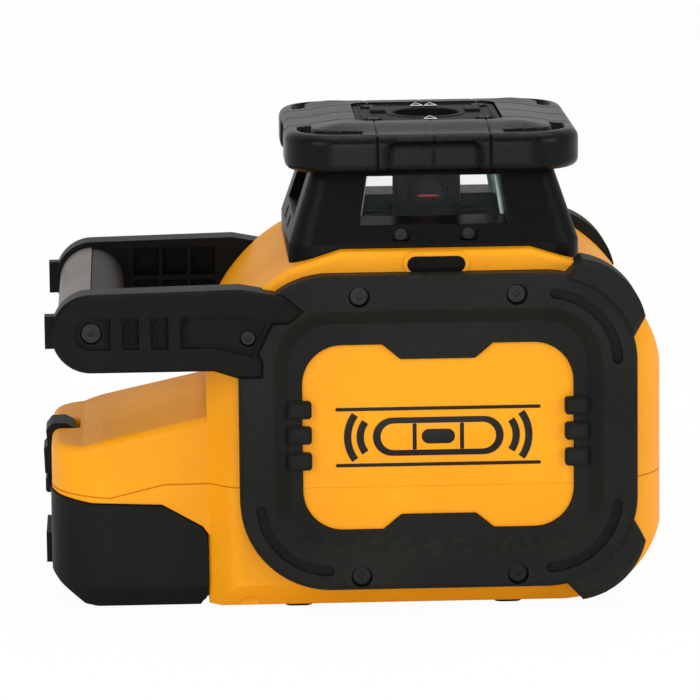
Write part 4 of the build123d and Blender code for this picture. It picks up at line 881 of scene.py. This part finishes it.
CAST_ALLOY = Finish(
    "cast_alloy", (0.50, 0.51, 0.53), (0.42, 0.43, 0.45), 0.48, 0.08, Grain.CAST, 1.3, 0.08, 0.5,
    wear=0.3, wear_colour=(0.78, 0.78, 0.80), metallic=1.0,
)
BRASS = Finish(
    "brass_part", (0.72, 0.50, 0.20), (0.62, 0.42, 0.16), 0.28, 0.08, Grain.TURNED, 0.4, 0.01, 0.2,
    wear=0.25, wear_colour=(0.90, 0.72, 0.40), metallic=1.0,
)
PANE = Glass("clear_glass", (0.10, 0.15, 0.145), (0.08, 0.13, 0.125), 0.0, 0.03, smear=0.03, alpha=0.035)
# Glass edges' green tint, lightened into a painted highlight of the light caught in the edges.
PANE_EDGE_SHEEN = Glass("pane_edge_sheen", (0.62, 0.78, 0.76), (0.30, 0.42, 0.42), 0.0, 0.12, coat=0.4, smear=0.1)
DARK_WINDOW = Glass("dark_window", (0.006, 0.005, 0.005), (0.004, 0.004, 0.004), 0.0, 0.10, specular=0.05)
LENS = Glass("lens_glass", (0.006, 0.005, 0.012), (0.009, 0.005, 0.010), 0.0, 0.06, specular=0.12)
DISPLAY = Glass("display_glass", (0.16, 0.19, 0.16), (0.14, 0.17, 0.145), 0.0, 0.12, coat=0.5)
PRISM = Glass("prism_glass", (0.85, 0.90, 0.98), (0.80, 0.86, 0.96), ior=1.52)
BEAM = Glass("beam_red", (0.22, 0.01, 0.01), (0.18, 0.008, 0.008), 0.0, 0.2, glow=(0.20, 0.008, 0.006))
LAMP = Glass(
    "lamp_green", (0.03, 0.20, 0.05), (0.02, 0.17, 0.04), 0.0, 0.1, coat=0.8, glow=(0.02, 0.16, 0.03)
)


def dress(look: Finish | Glass, *names: str) -> None:
    """Gives CAD nodes a finish.

    Args:
        look: the finish.
        names: the nodes.
    """
    for name in names:
        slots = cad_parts[name].data.materials
        slots.clear()
        slots.append(look.material())
        LOG.info("dressed %s in %s", name, look.name)


def coat(piece: bpy.types.Object, look: Finish | Glass, slot: Optional[str] = None) -> bpy.types.Object:
    """Gives a new piece its finish."""
    piece.data.materials.append(look.material())
    return piece


def box_mm(node: str) -> tuple[Array, Array]:
    """Lowest and highest corner of a CAD node, in millimetres."""
    low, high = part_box(node)
    return np.array(low) / MM, np.array(high) / MM


SIDES = {"right": -1.0, "left": 1.0}


# ------------------------------------------------------------------ sub-assemblies
@dataclass(frozen=True)
class Housing:
    """Both housing halves, their inserts, feet and screws."""

    thread_minor: float = 6.75
    thread_depth: float = 1.15
    thread_pitch: float = 2.309
    insert_radius: float = 12.0
    tripod_flange: tuple[float, float] = (17.0, 0.4)
    rear_flange: tuple[float, float] = (16.0, 0.8)
    body: str = "housing"

    def build(self) -> None:
        """Makes the two threaded inserts."""
        _, high = box_mm("tripod_insert")
        place = seat((0, 0, high[2]), (0, 0, -1), (1, 0, 0))
        self.insert("tripod_thread_insert", "tripod_insert", place, high[2], *self.tripod_flange)
        low, high = box_mm("rear_insert")
        place = seat((low[0], 0, (low[2] + high[2]) / 2), (1, 0, 0))
        self.insert("rear_thread_insert", "rear_insert", place, high[0] - low[0], *self.rear_flange)

    def insert(self, name: str, node: str, place: Seat, length: float, flange: float, lip: float) -> None:
        """One threaded insert with a thin flange at its mouth.

        Args:
            name: the new piece.
            node: the CAD node that it stands for.
            place: a seat at its inner end, facing out of the mouth.
            length: its whole length.
            flange: the flange's radius.
            lip: the flange's thickness.
        """
        outside = np.array(
            [
                (flange - 1.0, length),
                (flange, length - 0.3 * lip),
                (flange, length - lip),
                (self.insert_radius, length - lip),
                (self.insert_radius, 0.4),
                (self.insert_radius - 0.4, 0.0),
            ]
        )
        sleeve = threaded_sleeve(outside, self.thread_minor, self.thread_depth, self.thread_pitch, length)
        piece = make_piece(name, sleeve, place, self.body)
        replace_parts(coat(piece, ALLOY, "insert_alloy"), node)

    def dress(self) -> None:
        """Finishes the housing's CAD nodes."""
        dress(HOUSING, "upper_housing", "lower_housing")
        dress(BUMPER, "base_feet", "bay_seal")
        dress(BLACK_STEEL, "housing_screws")
        dress(DARK_WINDOW, "receiver_window_right", "receiver_window_left")
        dress(BOARD, "main_board")


@dataclass(frozen=True)
class SideBumper:
    """One side's rubber bumper, with the pictogram on its inset panel."""

    side: str
    panel_y: float = 77.4
    middle_z: float = 80.2
    rule_half: float = 45.5
    rule_rise: float = 12.6
    capsule_half: float = 29.0
    capsule_rise: float = 8.6
    arc_width: float = 3.2
    arc_reaches: tuple[float, ...] = (11.6, 17.2)
    arc_spread: float = 36.0
    wall: float = 2.6
    print_height: float = 0.35
    tooth_x: float = 61.4
    tooth_rows: tuple[float, ...] = (70.1, 81.8, 93.2)
    tooth_out: float = 2.8
    cap_half: tuple[float, float] = (4.9, 3.5)
    cap_rise: float = 1.3
    body: str = "housing"

    @property
    def place(self) -> Seat:
        """Seat at the middle of the inset panel."""
        facing = SIDES[self.side]
        return seat((0, facing * self.panel_y, self.middle_z), (0, facing, 0))

    def build(self) -> None:
        """Makes the spirit-capsule pictogram: two rules, a capsule with its bubble, and beam arcs."""
        height = self.print_height
        rise = self.rule_rise
        rules = [pad(self.rule_half, 0.75, 0.7, height, 0.12).moved(up=at) for at in (-rise, rise)]
        arcs = [
            ribbon(self.beam_arc(facing, reach), self.arc_width, height)
            for facing in (-1, 1)
            for reach in self.arc_reaches
        ]
        capsule = pad(self.capsule_half, self.capsule_rise, self.capsule_rise - 0.05, height, 0.12)
        dark = make_piece(f"badge_{self.side}", joined([*rules, *arcs, capsule]), self.place, self.body)
        coat(dark, PRINT_DARK, "bumper_rubber")
        inner = self.capsule_rise - self.wall
        window = pad(self.capsule_half - 3.4, inner, inner - 0.1, height + 0.12, 0.1)
        light = make_piece(f"badge_window_{self.side}", window, self.place, self.body)
        coat(light, PRINT_YELLOW, "housing_yellow")
        ticks = [pad(0.9, inner - 0.1, 0.4, height + 0.24, 0.1).moved(across=x) for x in (-10.5, 10.5)]
        bubble = pad(7.4, 3.3, 3.2, height + 0.3, 0.15)
        marks = make_piece(f"badge_bubble_{self.side}", joined([*ticks, bubble]), self.place, self.body)
        coat(marks, PRINT_DARK, "bumper_rubber")
        self.build_tooth_caps()

    def beam_arc(self, facing: int, reach: float) -> Array:
        """Path of one beam arc, bowed away from the capsule on the side that it faces."""
        middle = 90 - facing * 90
        centre = (facing * (self.capsule_half - 6.0), 0)
        return arc(centre, reach, middle - self.arc_spread, middle + self.arc_spread)

    def build_tooth_caps(self) -> None:
        """Makes the bulged caps on the bumper's teeth."""
        caps = [
            pad(*self.cap_half, 1.6, self.cap_rise, self.cap_rise - 0.05).moved(
                across, row - self.middle_z, self.tooth_out
            )
            for across in (-self.tooth_x, self.tooth_x)
            for row in self.tooth_rows
        ]
        piece = make_piece(f"tooth_caps_{self.side}", joined(caps), self.place, self.body)
        coat(piece, BUMPER, "bumper_rubber")

    def dress(self) -> None:
        """Finishes the bumper."""
        dress(BUMPER, "bumper_" + self.side)


@dataclass(frozen=True)
class Handle:
    """Handle arms, grip and screws, with the curved ridges in each arm's recessed field."""

    field_centre: tuple[float, float, float] = (-129.2, 83.8, 129.85)
    bar_steps: tuple[float, ...] = (-12.4, 0.0, 13.0)
    ridge_gap: float = 4.3
    ridge_bend: float = 15.0
    ridge_spread: float = 22.0
    ridge_width: float = 1.1
    ridge_height: float = 2.35
    body: str = "housing"

    def build(self) -> None:
        """Makes a pair of thin curved ridges beside each raised bar, on both arms."""
        x, y, z = self.field_centre
        for side, facing in SIDES.items():
            place = seat((x, facing * y, z), (0, facing, 0))
            ridges = joined(
                ribbon(self.ridge(step + offset, facing), self.ridge_width, self.ridge_height)
                for step in self.bar_steps
                for offset in (-self.ridge_gap, self.ridge_gap)
            )
            coat(make_piece(f"arm_ridges_{side}", ridges, place, self.body), ARM, "arm_plastic")

    def ridge(self, step: float, facing: float) -> Array:
        """Path of one ridge: a short arc, bowed towards the grip on either arm.

        Args:
            step: how far its middle is from the field's centre, towards the body.
            facing: -1 on the right arm and 1 on the left.

        Returns:
            The arc's points in the seat's plane.
        """
        middle = 90 - facing * 90
        centre = (-facing * (step + self.ridge_bend), 0.0)
        return arc(centre, self.ridge_bend, middle - self.ridge_spread, middle + self.ridge_spread, 16)

    def dress(self) -> None:
        """Finishes the handle's CAD nodes."""
        dress(ARM, "handle_arm_right", "handle_arm_left", "grip_core")
        dress(GRIP_GREY, "grip_outer_shell")
        dress(GRIP_DARK, "grip_inner_shell")
        dress(BLACK_STEEL, "handle_screws", "bumper_screws")


@dataclass(frozen=True)
class CapShell:
    """Form of the rubber cap: a crowned square ring with corner domes, runnels, scoops and seams."""

    half: float = 65.5
    radius: float = 24.0
    well_half: float = 33.0
    well_radius: float = 7.0
    ledge_half: float = 28.5
    ledge_radius: float = 5.0
    low: float = 196.0
    ledge: float = 209.5
    rim: float = 213.0
    crown: float = 2.5
    top_edge: float = 4.6
    low_edge: float = 3.4
    scoop_half: float = 22.5
    scoop_depth: float = 3.2
    scoop_radius: float = 6.5
    scoop_ramp: float = 4.5
    seam_at: float = 25.1
    seam_depth: float = 0.7
    dome_at: float = 43.0
    dome_radius: float = 13.5
    dome_rise: float = 0.45
    runnel_inset: float = 9.0
    runnel_half: float = 3.0
    runnel_depth: float = 4.2
    runnel_from: float = 31.0

    def rails(self) -> tuple[Array, Array, Array, Array, Array]:
        """Matching points round the cap.

        Returns:
            The outer outline, its outward normals, the well's outline, the ledge's outline, and how
            far each point lies along its side, which is put past the seams at the corners.
        """
        flat = self.half - self.radius
        reach = self.well_half - self.well_radius
        marks = np.array([-1.2, -0.7, -0.35, 0.0, 0.35, 0.7, 1.2])
        spread = [np.linspace(-reach, reach, 88), marks[2:5], self.seam_at + marks, -self.seam_at + marks]
        along = np.unique(np.concatenate(spread))
        along = along[np.abs(along) <= reach]
        share = np.linspace(0, 1, 90)[1:-1]
        straight, bend = flat - reach, self.radius * math.pi / 2
        path = share * (2 * straight + bend)
        angle = np.clip((path - straight) / self.radius, 0, math.pi / 2) - math.pi / 2
        corner_n = np.stack([np.cos(angle), np.sin(angle)], -1)
        lead = np.stack([np.minimum(path - straight, 0), np.maximum(path - straight - bend, 0)], -1)
        corner = corner_line(flat, self.radius, corner_n) + lead
        turned = share * math.pi / 2 - math.pi / 2
        inner_n = np.stack([np.cos(turned), np.sin(turned)], -1)
        down = np.broadcast_to(np.array([0.0, -1.0]), (len(along), 2))
        ledge_reach = self.ledge_half - self.ledge_radius
        held = np.clip(along, -ledge_reach, ledge_reach)
        well_corner = corner_line(reach, self.well_radius, inner_n)
        ledge_corner = corner_line(ledge_reach, self.ledge_radius, inner_n)
        lines = [
            np.concatenate([side_line(along, self.half), corner]),
            np.concatenate([down, corner_n]),
            np.concatenate([side_line(along, self.well_half), well_corner]),
            np.concatenate([side_line(held, self.ledge_half), ledge_corner]),
        ]
        quarters = np.arange(4) * math.pi / 2
        turns = [np.array([[math.cos(q), math.sin(q)], [-math.sin(q), math.cos(q)]]) for q in quarters]
        outer, normal, well, ledge = (np.concatenate([line @ turn for turn in turns]) for line in lines)
        span = np.tile(np.concatenate([along, np.full(len(share), 2 * self.half)]), 4)
        return outer, normal, well, ledge, span

    def seams(self, span: Array) -> Array:
        """Depth of the seams: narrow bells at the two joints of each side and a hairline in its middle."""
        joint = np.exp(-(((np.abs(span) - self.seam_at) / 0.38) ** 2))
        return self.seam_depth * joint + 0.3 * np.exp(-((span / 0.3) ** 2))

    def deck_height(self, at: Array, span: Array) -> Array:
        """Height of the top: rim plus crown and domes, less runnels and seams.

        The crown rises as a smooth step of the distance from the outline. A dome is the squared bell
        of the distance from its corner. A runnel follows the outline at a fixed inset in each corner.

        Args:
            at: points, n by 2.
            span: how far each lies along its side.

        Returns:
            Heights in millimetres.
        """
        size = np.abs(at)
        flat = self.half - self.radius
        over = np.linalg.norm(np.maximum(size - flat, 0), axis=-1)
        inset = self.radius - over - np.minimum(size.max(-1) - flat, 0)
        crown = self.crown * eased((inset - self.top_edge) / 24.0)
        off = np.linalg.norm(size - self.dome_at, axis=-1) / self.dome_radius
        dome = self.dome_rise * np.clip(1 - off**2, 0, 1) ** 1.5
        across = eased((self.runnel_half - np.abs(inset - self.runnel_inset)) / 1.1)
        inside = eased((size.min(-1) - self.runnel_from) / 1.6)
        return self.rim + crown + dome - self.runnel_depth * across * inside - self.seams(span)

    def scoop(self, span: Array, height: Array) -> Array:
        """Depth of a side's scoop: an eased ramp over the distance inside a round-cornered window."""
        centre = self.rim - 1.4 - self.scoop_radius
        x = np.abs(span) - (self.scoop_half - self.scoop_radius)
        z = height - centre
        corner = np.hypot(np.maximum(x, 0), np.maximum(z, 0))
        outside = corner + np.minimum(np.maximum(x, z), 0) - self.scoop_radius
        return self.scoop_depth * eased(-outside / self.scoop_ramp)

    def surface(self) -> Surface:
        """The whole cap: well wall, top, rounded rim, sides, rounded foot, underside and bore."""
        outer, normal, well, ledge, span = self.rails()
        share = np.linspace(0, 1, 34)[:, None, None]
        top = well + (outer - self.top_edge * normal - well) * share
        top_z = self.deck_height(top, np.broadcast_to(span, top.shape[:2]))
        turn = np.linspace(0, math.pi / 2, 9)[1:, None]
        rim_z = top_z[-1] - self.top_edge * (1 - np.cos(turn))
        rim_in = np.broadcast_to(self.top_edge * (1 - np.sin(turn)), rim_z.shape)
        fall = np.linspace(0, 1, 13)[1:, None]
        wall_z = rim_z[-1] + (self.low + self.low_edge - rim_z[-1]) * fall
        foot_z = np.broadcast_to(self.low + self.low_edge * (1 - np.sin(turn[::2])), (4, len(span)))
        foot_in = np.broadcast_to(self.low_edge * (1 - np.cos(turn[::2])), foot_z.shape)
        side_z = np.concatenate([rim_z, wall_z, foot_z])
        side_in = np.concatenate([rim_in, np.zeros_like(wall_z), foot_in])
        pressed = self.scoop(span, side_z) + foot_weight(side_z, self.low, foot_in.max())
        side_in = np.maximum(side_in, pressed) + self.seams(span)
        side = outer - normal * side_in[..., None]
        rings = [
            with_height(ledge, self.ledge),
            with_height(well, self.ledge),
            with_height(well, top_z[0] - 0.5),
            np.concatenate([top, top_z[..., None]], -1),
            np.concatenate([side, side_z[..., None]], -1),
            with_height(ledge, self.low),
        ]
        return grid(np.concatenate(rings), wrap_rows=True, wrap_columns=True)


@dataclass(frozen=True)
class Lantern:
    """Cage, panes, cap and sight marks."""

    deck_low: float = 209.6
    deck_top: float = 214.5
    deck_half: float = 32.7
    hole: float = 15.0
    block_x: float = 21.5
    block_y: float = 8.0
    rib_at: float = 29.6
    rib_reaches: tuple[float, float] = (30.0, 24.0)
    rib_size: tuple[float, float] = (0.8, 0.5)
    screw_x: float = 25.0
    screw_y: float = 22.0
    mark_half: float = 2.7
    mark_length: float = 10.0
    mark_spots: tuple[tuple[float, float], ...] = ((0.4, -30.0), (-3.2, 17.5), (3.2, 17.5))
    strip_foot: tuple[float, float, float] = (32.0, 33.5, 172.9)
    strip_head: tuple[float, float, float] = (28.9, 30.7, 193.2)
    body: str = "housing"

    @property
    def place(self) -> Seat:
        """Seat on the rotor axis, facing up."""
        return seat((0, 0, 0), (0, 0, 1), (0, 1, 0))

    def deck(self) -> Surface:
        """Square deck with a round port: rings from its outer foot over the top and down the port."""
        outline = even_loop(rounded_loop(self.deck_half, self.deck_half, 6.8, 12), 192)
        inner = outline * (self.deck_half - 0.5) / self.deck_half
        turn = np.arctan2(outline[:, 1], outline[:, 0])
        circle = np.stack([np.cos(turn), np.sin(turn)], -1)
        rings = [
            with_height(outline, self.deck_low),
            with_height(outline, self.deck_top - 0.5),
            with_height(inner, self.deck_top),
            with_height((self.hole + 3.4) * circle, self.deck_top),
            with_height((self.hole + 2.8) * circle, self.deck_top + 0.5),
            with_height((self.hole + 0.5) * circle, self.deck_top + 0.5),
            with_height(self.hole * circle, self.deck_top),
            with_height(self.hole * circle, self.deck_low),
        ]
        return grid(np.concatenate(rings), wrap_rows=True, wrap_columns=True)

    def pane_edges(self) -> Surface:
        """Pale edge strips between each pane and its two pillars, leaning with them: the glass edges' own
        tint plus a painted highlight of the light they catch.
        """
        share = np.linspace(0, 1, 12)[:, None]
        height = self.strip_foot[2] + (self.strip_head[2] - self.strip_foot[2]) * share
        outer = self.strip_foot[0] + (self.strip_head[0] - self.strip_foot[0]) * share
        depth = self.strip_foot[1] + (self.strip_head[1] - self.strip_foot[1]) * share
        section = rounded_loop(1.0, 0.9, 0.4, 3)
        back, rise = section[:, 1] - depth, height + 0 * section[:, 0]
        sides = [side * outer + section[:, 0] for side in (-1, 1)]
        strips = [grid(np.stack([side, back, rise], -1), wrap_columns=True) for side in sides]
        return joined(strip.turned(90.0 * turn) for strip in strips for turn in range(4))

    @property
    def screw_spots(self) -> list[tuple[float, float]]:
        """Places of the deck's four screws."""
        return [(x, y) for x in (-self.screw_x, self.screw_x) for y in (-self.screw_y, self.screw_y)]

    def deck_details(self) -> list[Surface]:
        """Two blocks beside the port, a rib along each edge and a collar round each screw."""
        top, edge = self.deck_top, self.rib_at
        long, short = self.rib_reaches
        block = pad(3.5, 6.2, 0.8, 1.3, 0.4)
        blocks = [block.moved(x, self.block_y, top) for x in (-self.block_x, self.block_x)]
        ribs = [bar((-long, y), (long, y), *self.rib_size).moved(out=top) for y in (-edge, edge)]
        ribs += [bar((x, -short), (x, short), *self.rib_size).moved(out=top) for x in (-edge, edge)]
        collars = [ring(3.5, 0.9, 0.8, top, 32).moved(x, y) for x, y in self.screw_spots]
        return [*blocks, *ribs, *collars]

    def screw_heads(self) -> Surface:
        """Low domed heads of the deck's screws, each with a shallow socket."""
        head = np.array([(0.0, 0.0), (2.6, 0.0), (2.6, 0.6), (2.2, 0.9), (1.3, 0.9), (1.1, 0.3), (0.0, 0.2)])
        return joined(lathed(head, 30).moved(x, y, self.deck_top - 0.1) for x, y in self.screw_spots)

    def build_marks(self) -> None:
        """Makes the three sight marks: pale outlines of narrow triangles on dark bases."""
        outline = np.array([(-self.mark_half, 0.0), (self.mark_half, 0.0), (0.0, self.mark_length)])
        top = self.deck_top
        frames = [ribbon(outline, 0.6, 0.4, closed=True).moved(x, y, top + 1.0) for x, y in self.mark_spots]
        coat(make_piece("sight_marks", joined(frames), self.place, self.body), PRINT_WHITE)
        fills = [prism(outline.tolist(), 1.2, 0.1).moved(x, y, top) for x, y in self.mark_spots]
        coat(make_piece("sight_bases", joined(fills), self.place, self.body), PLATE)

    def build(self) -> None:
        """Makes the cap, its deck, the deck's screws, the sight marks and the panes' edges."""
        cap = make_piece("cap_shell", CapShell().surface(), self.place, self.body)
        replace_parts(coat(cap, CAP, "cap_rubber"), "cage_cap")
        deck = make_piece("cap_deck", joined([self.deck(), *self.deck_details()]), self.place, self.body)
        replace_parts(coat(deck, PLATE, "plate_black"), "cap_plate")
        screws = make_piece("deck_screws", self.screw_heads(), self.place, self.body)
        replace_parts(coat(screws, BLACK_STEEL, "black_steel"), "cap_screws")
        self.build_marks()
        # Pane edge strips: real glass edges, coloured with a painted highlight.
        coat(make_piece("pane_edges", self.pane_edges(), self.place, self.body), PANE_EDGE_SHEEN)

    def dress(self) -> None:
        """Finishes the lantern's CAD nodes."""
        dress(CAGE, "cage_frame")
        dress(BLACK_STEEL, "cage_screws")
        dress(PANE, "window_right", "window_left", "window_front", "window_rear")


@dataclass(frozen=True)
class Rotor:
    """Turning head, with its lens and the prism inside."""

    bezel_radii: tuple[float, float] = (7.2, 5.6)
    beam_half: tuple[float, float] = (4.6, 0.45)
    body: str = "rotor"

    def build(self) -> None:
        """Makes the lens's bezel rings and the beam's slit."""
        low, high = box_mm("aperture_lens")
        middle_z = (low[2] + high[2]) / 2
        place = seat((0, low[1], middle_z), (0, -1, 0))
        outer, inner = self.bezel_radii
        bezel = joined([ring(outer, 0.9, 0.9, -0.7), ring(inner, 0.5, 0.5, -0.2)])
        coat(make_piece("lens_bezel", bezel, place, self.body), ROTOR, "rotor_black")
        beam = pad(*self.beam_half, 0.4, 0.14, 0.05)
        coat(make_piece("beam_slit", beam, place, self.body), BEAM)

    def dress(self) -> None:
        """Finishes the rotor's CAD nodes."""
        dress(ROTOR, "rotor_housing")
        dress(LENS, "aperture_lens")
        dress(PRISM, "pentaprism")
        dress(GEAR, "rotor_gear")


@dataclass(frozen=True)
class Gimbal:
    """Self-levelling gimbal and drives inside the housing."""

    def dress(self) -> None:
        """Finishes the gimbal's CAD nodes."""
        dress(CAST_ALLOY, "chassis", "gimbal_ring", "levelling_platform")
        dress(BRASS, "laser_module", "motor_pinion")
        dress(LENS, "collimator_lens")
        dress(BRIGHT_STEEL, "rotor_bearings", "rotor_motor", "level_motor_x", "level_motor_y")
        dress(BRIGHT_STEEL, "level_plunger_x", "level_plunger_y")


@dataclass(frozen=True)
class Keypad:
    """Keypad plate, display and five keys, each with its printed symbol."""

    tilt: float = 16.0
    recess: tuple[float, float] = (-93.6, 111.5)
    key_top: float = 3.0
    glass_top: float = 1.6
    lamp_spot: tuple[float, float] = (-34.0, 10.6)
    line: float = 0.7
    height: float = 0.14

    @property
    def place(self) -> Seat:
        """Seat in the floor of the keypad's recess."""
        c, s = math.cos(math.radians(self.tilt)), math.sin(math.radians(self.tilt))
        x, z = self.recess
        return seat((x, 0, z), (-c, 0, s), (s, 0, c))

    def symbols(self) -> dict[str, tuple[float, float, Surface]]:
        """Each key's place on the plate and its symbol."""
        open_ring = ribbon(arc((0, 0), 2.9, 125, 415), self.line, self.height)
        power = joined([open_ring, bar((0, 0.8), (0, 3.6), self.line, self.height)])
        gauge = ribbon(arc((0, -0.8), 2.3, -10, 190), self.line, self.height)
        speed = joined([gauge, bar((0, -0.8), (1.3, 0.9), self.line, self.height)])
        heads = [prism([(f * 3.0, 0.0), (f * 1.6, 1.1), (f * 1.6, -1.1)], self.height, 0.04) for f in (-1, 1)]
        scan = joined([*heads, bar((-1.4, 0), (1.4, 0), 0.5, self.height)])
        up = prism([(-2.0, -1.2), (2.0, -1.2), (0.0, 2.0)], self.height, 0.04)
        down = prism([(-2.0, 1.2), (2.0, 1.2), (0.0, -2.0)], self.height, 0.04)
        return {
            "key_power": (-34.0, 0.0, power),
            "key_speed": (25.0, 7.6, speed),
            "key_scan": (25.0, -7.6, scan),
            "key_up": (38.0, 7.6, up),
            "key_down": (38.0, -7.6, down),
        }

    def segments(self) -> Surface:
        """The display's dark segments: a level vial, a battery gauge and four rising bars."""
        vial = rounded_loop(9.0, 2.2, 2.1)
        cell = rounded_loop(3.2, 1.7, 0.4)
        charge = [pad(0.5, 1.0, 0.2, 0.1, 0.03).moved(-17.2 + 1.6 * n, -5.6) for n in range(3)]
        bars = [
            pad(0.8, 0.7 + 0.55 * n, 0.2, 0.1, 0.03).moved(2.0 + 2.6 * n, -6.6 + 0.55 * n) for n in range(4)
        ]
        return joined(
            [
                ribbon(vial, 0.5, 0.1, closed=True).moved(-4.0, 4.6),
                pad(2.2, 1.1, 1.0, 0.1, 0.03).moved(-4.0, 4.6),
                ribbon(cell, 0.5, 0.1, closed=True).moved(-15.5, -5.6),
                *charge,
                *bars,
            ]
        )

    def build(self) -> None:
        """Makes the key symbols, the display's segments and the two status lamps."""
        for key, (across, up, symbol) in self.symbols().items():
            piece = make_piece(key + "_symbol", symbol.moved(across, up, self.key_top), self.place, key)
            coat(piece, PRINT_WHITE)
        segments = self.segments().moved(out=self.glass_top)
        coat(make_piece("display_segments", segments, self.place, "housing"), PRINT_DARK)
        across, rise = self.lamp_spot
        lamps = joined([pad(0.9, 0.9, 0.88, 0.6, 0.5).moved(across, up, 1.8) for up in (-rise, rise)])
        coat(make_piece("status_lamps", lamps, self.place, "housing"), LAMP)

    def dress(self) -> None:
        """Finishes the keypad's CAD nodes."""
        dress(KEYPAD, "keypad_panel")
        dress(DISPLAY, "lcd_window")
        dress(KEY, *self.symbols())


@dataclass(frozen=True)
class BatteryBay:
    """Cover, latch, battery pack and terminals."""

    def dress(self) -> None:
        """Finishes the bay's CAD nodes."""
        dress(COVER, "battery_cover", "battery_latch")
        dress(BRIGHT_STEEL, "cover_hinge_pin", "latch_pin")
        dress(PACK, "battery_pack")
        dress(RELEASE, "battery_release")
        dress(BRASS, "battery_terminals")


@dataclass(frozen=True)
class Studio:
    """Floor, lights and camera."""

    target: tuple[float, float, float] = (-35.485, 0.0, 105.98)
    distance: float = 2350.0
    azimuth: float = -2.4
    elevation: float = 9.9
    roll: float = 0.62
    lens: float = 264.7
    floor_half: float = 9000.0
    floor_glow: float = 0.96
    sky: float = 0.6

    def camera(self) -> None:
        """Places the camera round its target, turned by its roll."""
        a, e = math.radians(self.azimuth), math.radians(self.elevation)
        back = Vector((math.sin(a) * math.cos(e), -math.cos(a) * math.cos(e), math.sin(e)))
        right = (-back).cross(Vector((0, 0, 1))).normalized()
        upward = right.cross(-back).normalized()
        turn = math.radians(self.roll)
        side = right * math.cos(turn) - upward * math.sin(turn)
        top = right * math.sin(turn) + upward * math.cos(turn)
        data = bpy.data.cameras.new("camera")
        data.sensor_width = 36.0
        data.lens = self.lens
        data.clip_start, data.clip_end = 0.05, 60.0
        camera = bpy.data.objects.new("camera", data)
        axes = Matrix((side, top, back)).transposed().to_4x4()
        place = MM * (Vector(self.target) + self.distance * back)
        camera.matrix_world = Matrix.Translation(place) @ axes
        bpy.context.scene.collection.objects.link(camera)
        bpy.context.scene.camera = camera

    def floor(self) -> None:
        """Pale floor under the feet, a flat grid marked as stage."""
        low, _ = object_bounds()
        reach = np.linspace(-self.floor_half, self.floor_half, 9)
        across, along = np.meshgrid(reach, reach, indexing="ij")
        points = np.stack([across, along, np.full_like(across, low[2] / MM - 0.05)], -1)
        surface = grid(points)
        mesh = bpy.data.meshes.new("floor")
        mesh.from_pydata((surface.points * MM).tolist(), [], surface.quads.tolist())
        floor = bpy.data.objects.new("floor", mesh)
        bpy.context.scene.collection.objects.link(floor)
        material = bpy.data.materials.new("floor_pale")
        material.use_nodes = True
        material.node_tree.nodes.clear()
        graph = Graph(material.node_tree)
        speckle = graph.add("TexNoise", {"Vector": graph.add("TexCoord").outputs["Object"], "Scale": 40.0})
        lit = graph.add(
            "BsdfDiffuse", {"Color": graph.mixed(speckle.outputs[0], (0.95, 0.95, 0.95), (0.93, 0.93, 0.93))}
        )
        white = graph.add("Emission", {"Color": (1.0, 1.0, 1.0), "Strength": 1.0})
        seen = graph.math("MULTIPLY", graph.add("LightPath").outputs["Is Camera Ray"], self.floor_glow)
        blend = graph.add("MixShader", {0: seen, 1: lit.outputs[0], 2: white.outputs[0]})
        graph.add("OutputMaterial", {"Surface": blend.outputs[0]})
        mesh.materials.append(material)
        floor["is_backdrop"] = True

    def lamp(self, name: str, at: Vector, size: float, watts: float) -> None:
        """Soft area lamp that looks at the object's middle.

        Args:
            name: the lamp's name.
            at: its place in metres.
            size: the side of its square, in metres.
            watts: its power.
        """
        data = bpy.data.lights.new(name, "AREA")
        data.shape, data.size, data.energy = "SQUARE", size, watts
        lamp = bpy.data.objects.new(name, data)
        aim = (MM * Vector(self.target) - at).normalized()
        lamp.matrix_world = Matrix.Translation(at) @ aim.to_track_quat("-Z", "Y").to_matrix().to_4x4()
        bpy.context.scene.collection.objects.link(lamp)

    def lights(self) -> None:
        """Bright even surroundings, a soft box overhead and one at each side of the camera."""
        world = bpy.data.worlds.new("studio_world")
        bpy.context.scene.world = world
        world.use_nodes = True
        background = world.node_tree.nodes["Background"]
        background.inputs["Color"].default_value = (1.0, 1.0, 1.0, 1.0)
        background.inputs["Strength"].default_value = self.sky
        self.lamp("soft_top", Vector((0.1, 0.1, 1.6)), 1.4, 9.5)
        self.lamp("soft_left", Vector((-1.3, -1.3, 0.9)), 1.0, 9.0)
        self.lamp("soft_right", Vector((1.5, -1.1, 0.7)), 0.9, 9.0)
        self.lamp("soft_low", Vector((-0.1, -1.7, 0.22)), 0.8, 7.0)
        bpy.context.scene.view_settings.view_transform = "Standard"

    def build(self) -> None:
        """Sets the whole studio."""
        self.floor()
        self.lights()
        self.camera()


def main() -> None:
    """Builds and dresses every sub-assembly, and sets the studio."""
    logging.basicConfig(level=logging.INFO, format="%(message)s")
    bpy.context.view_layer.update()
    bumpers = [SideBumper(side) for side in SIDES]
    for assembly in (Housing(), *bumpers, Handle(), Lantern(), Rotor(), Keypad()):
        assembly.build()
        assembly.dress()
    for assembly in (Gimbal(), BatteryBay()):
        assembly.dress()
    Studio().build()


if __name__ == "__main__":
    main()
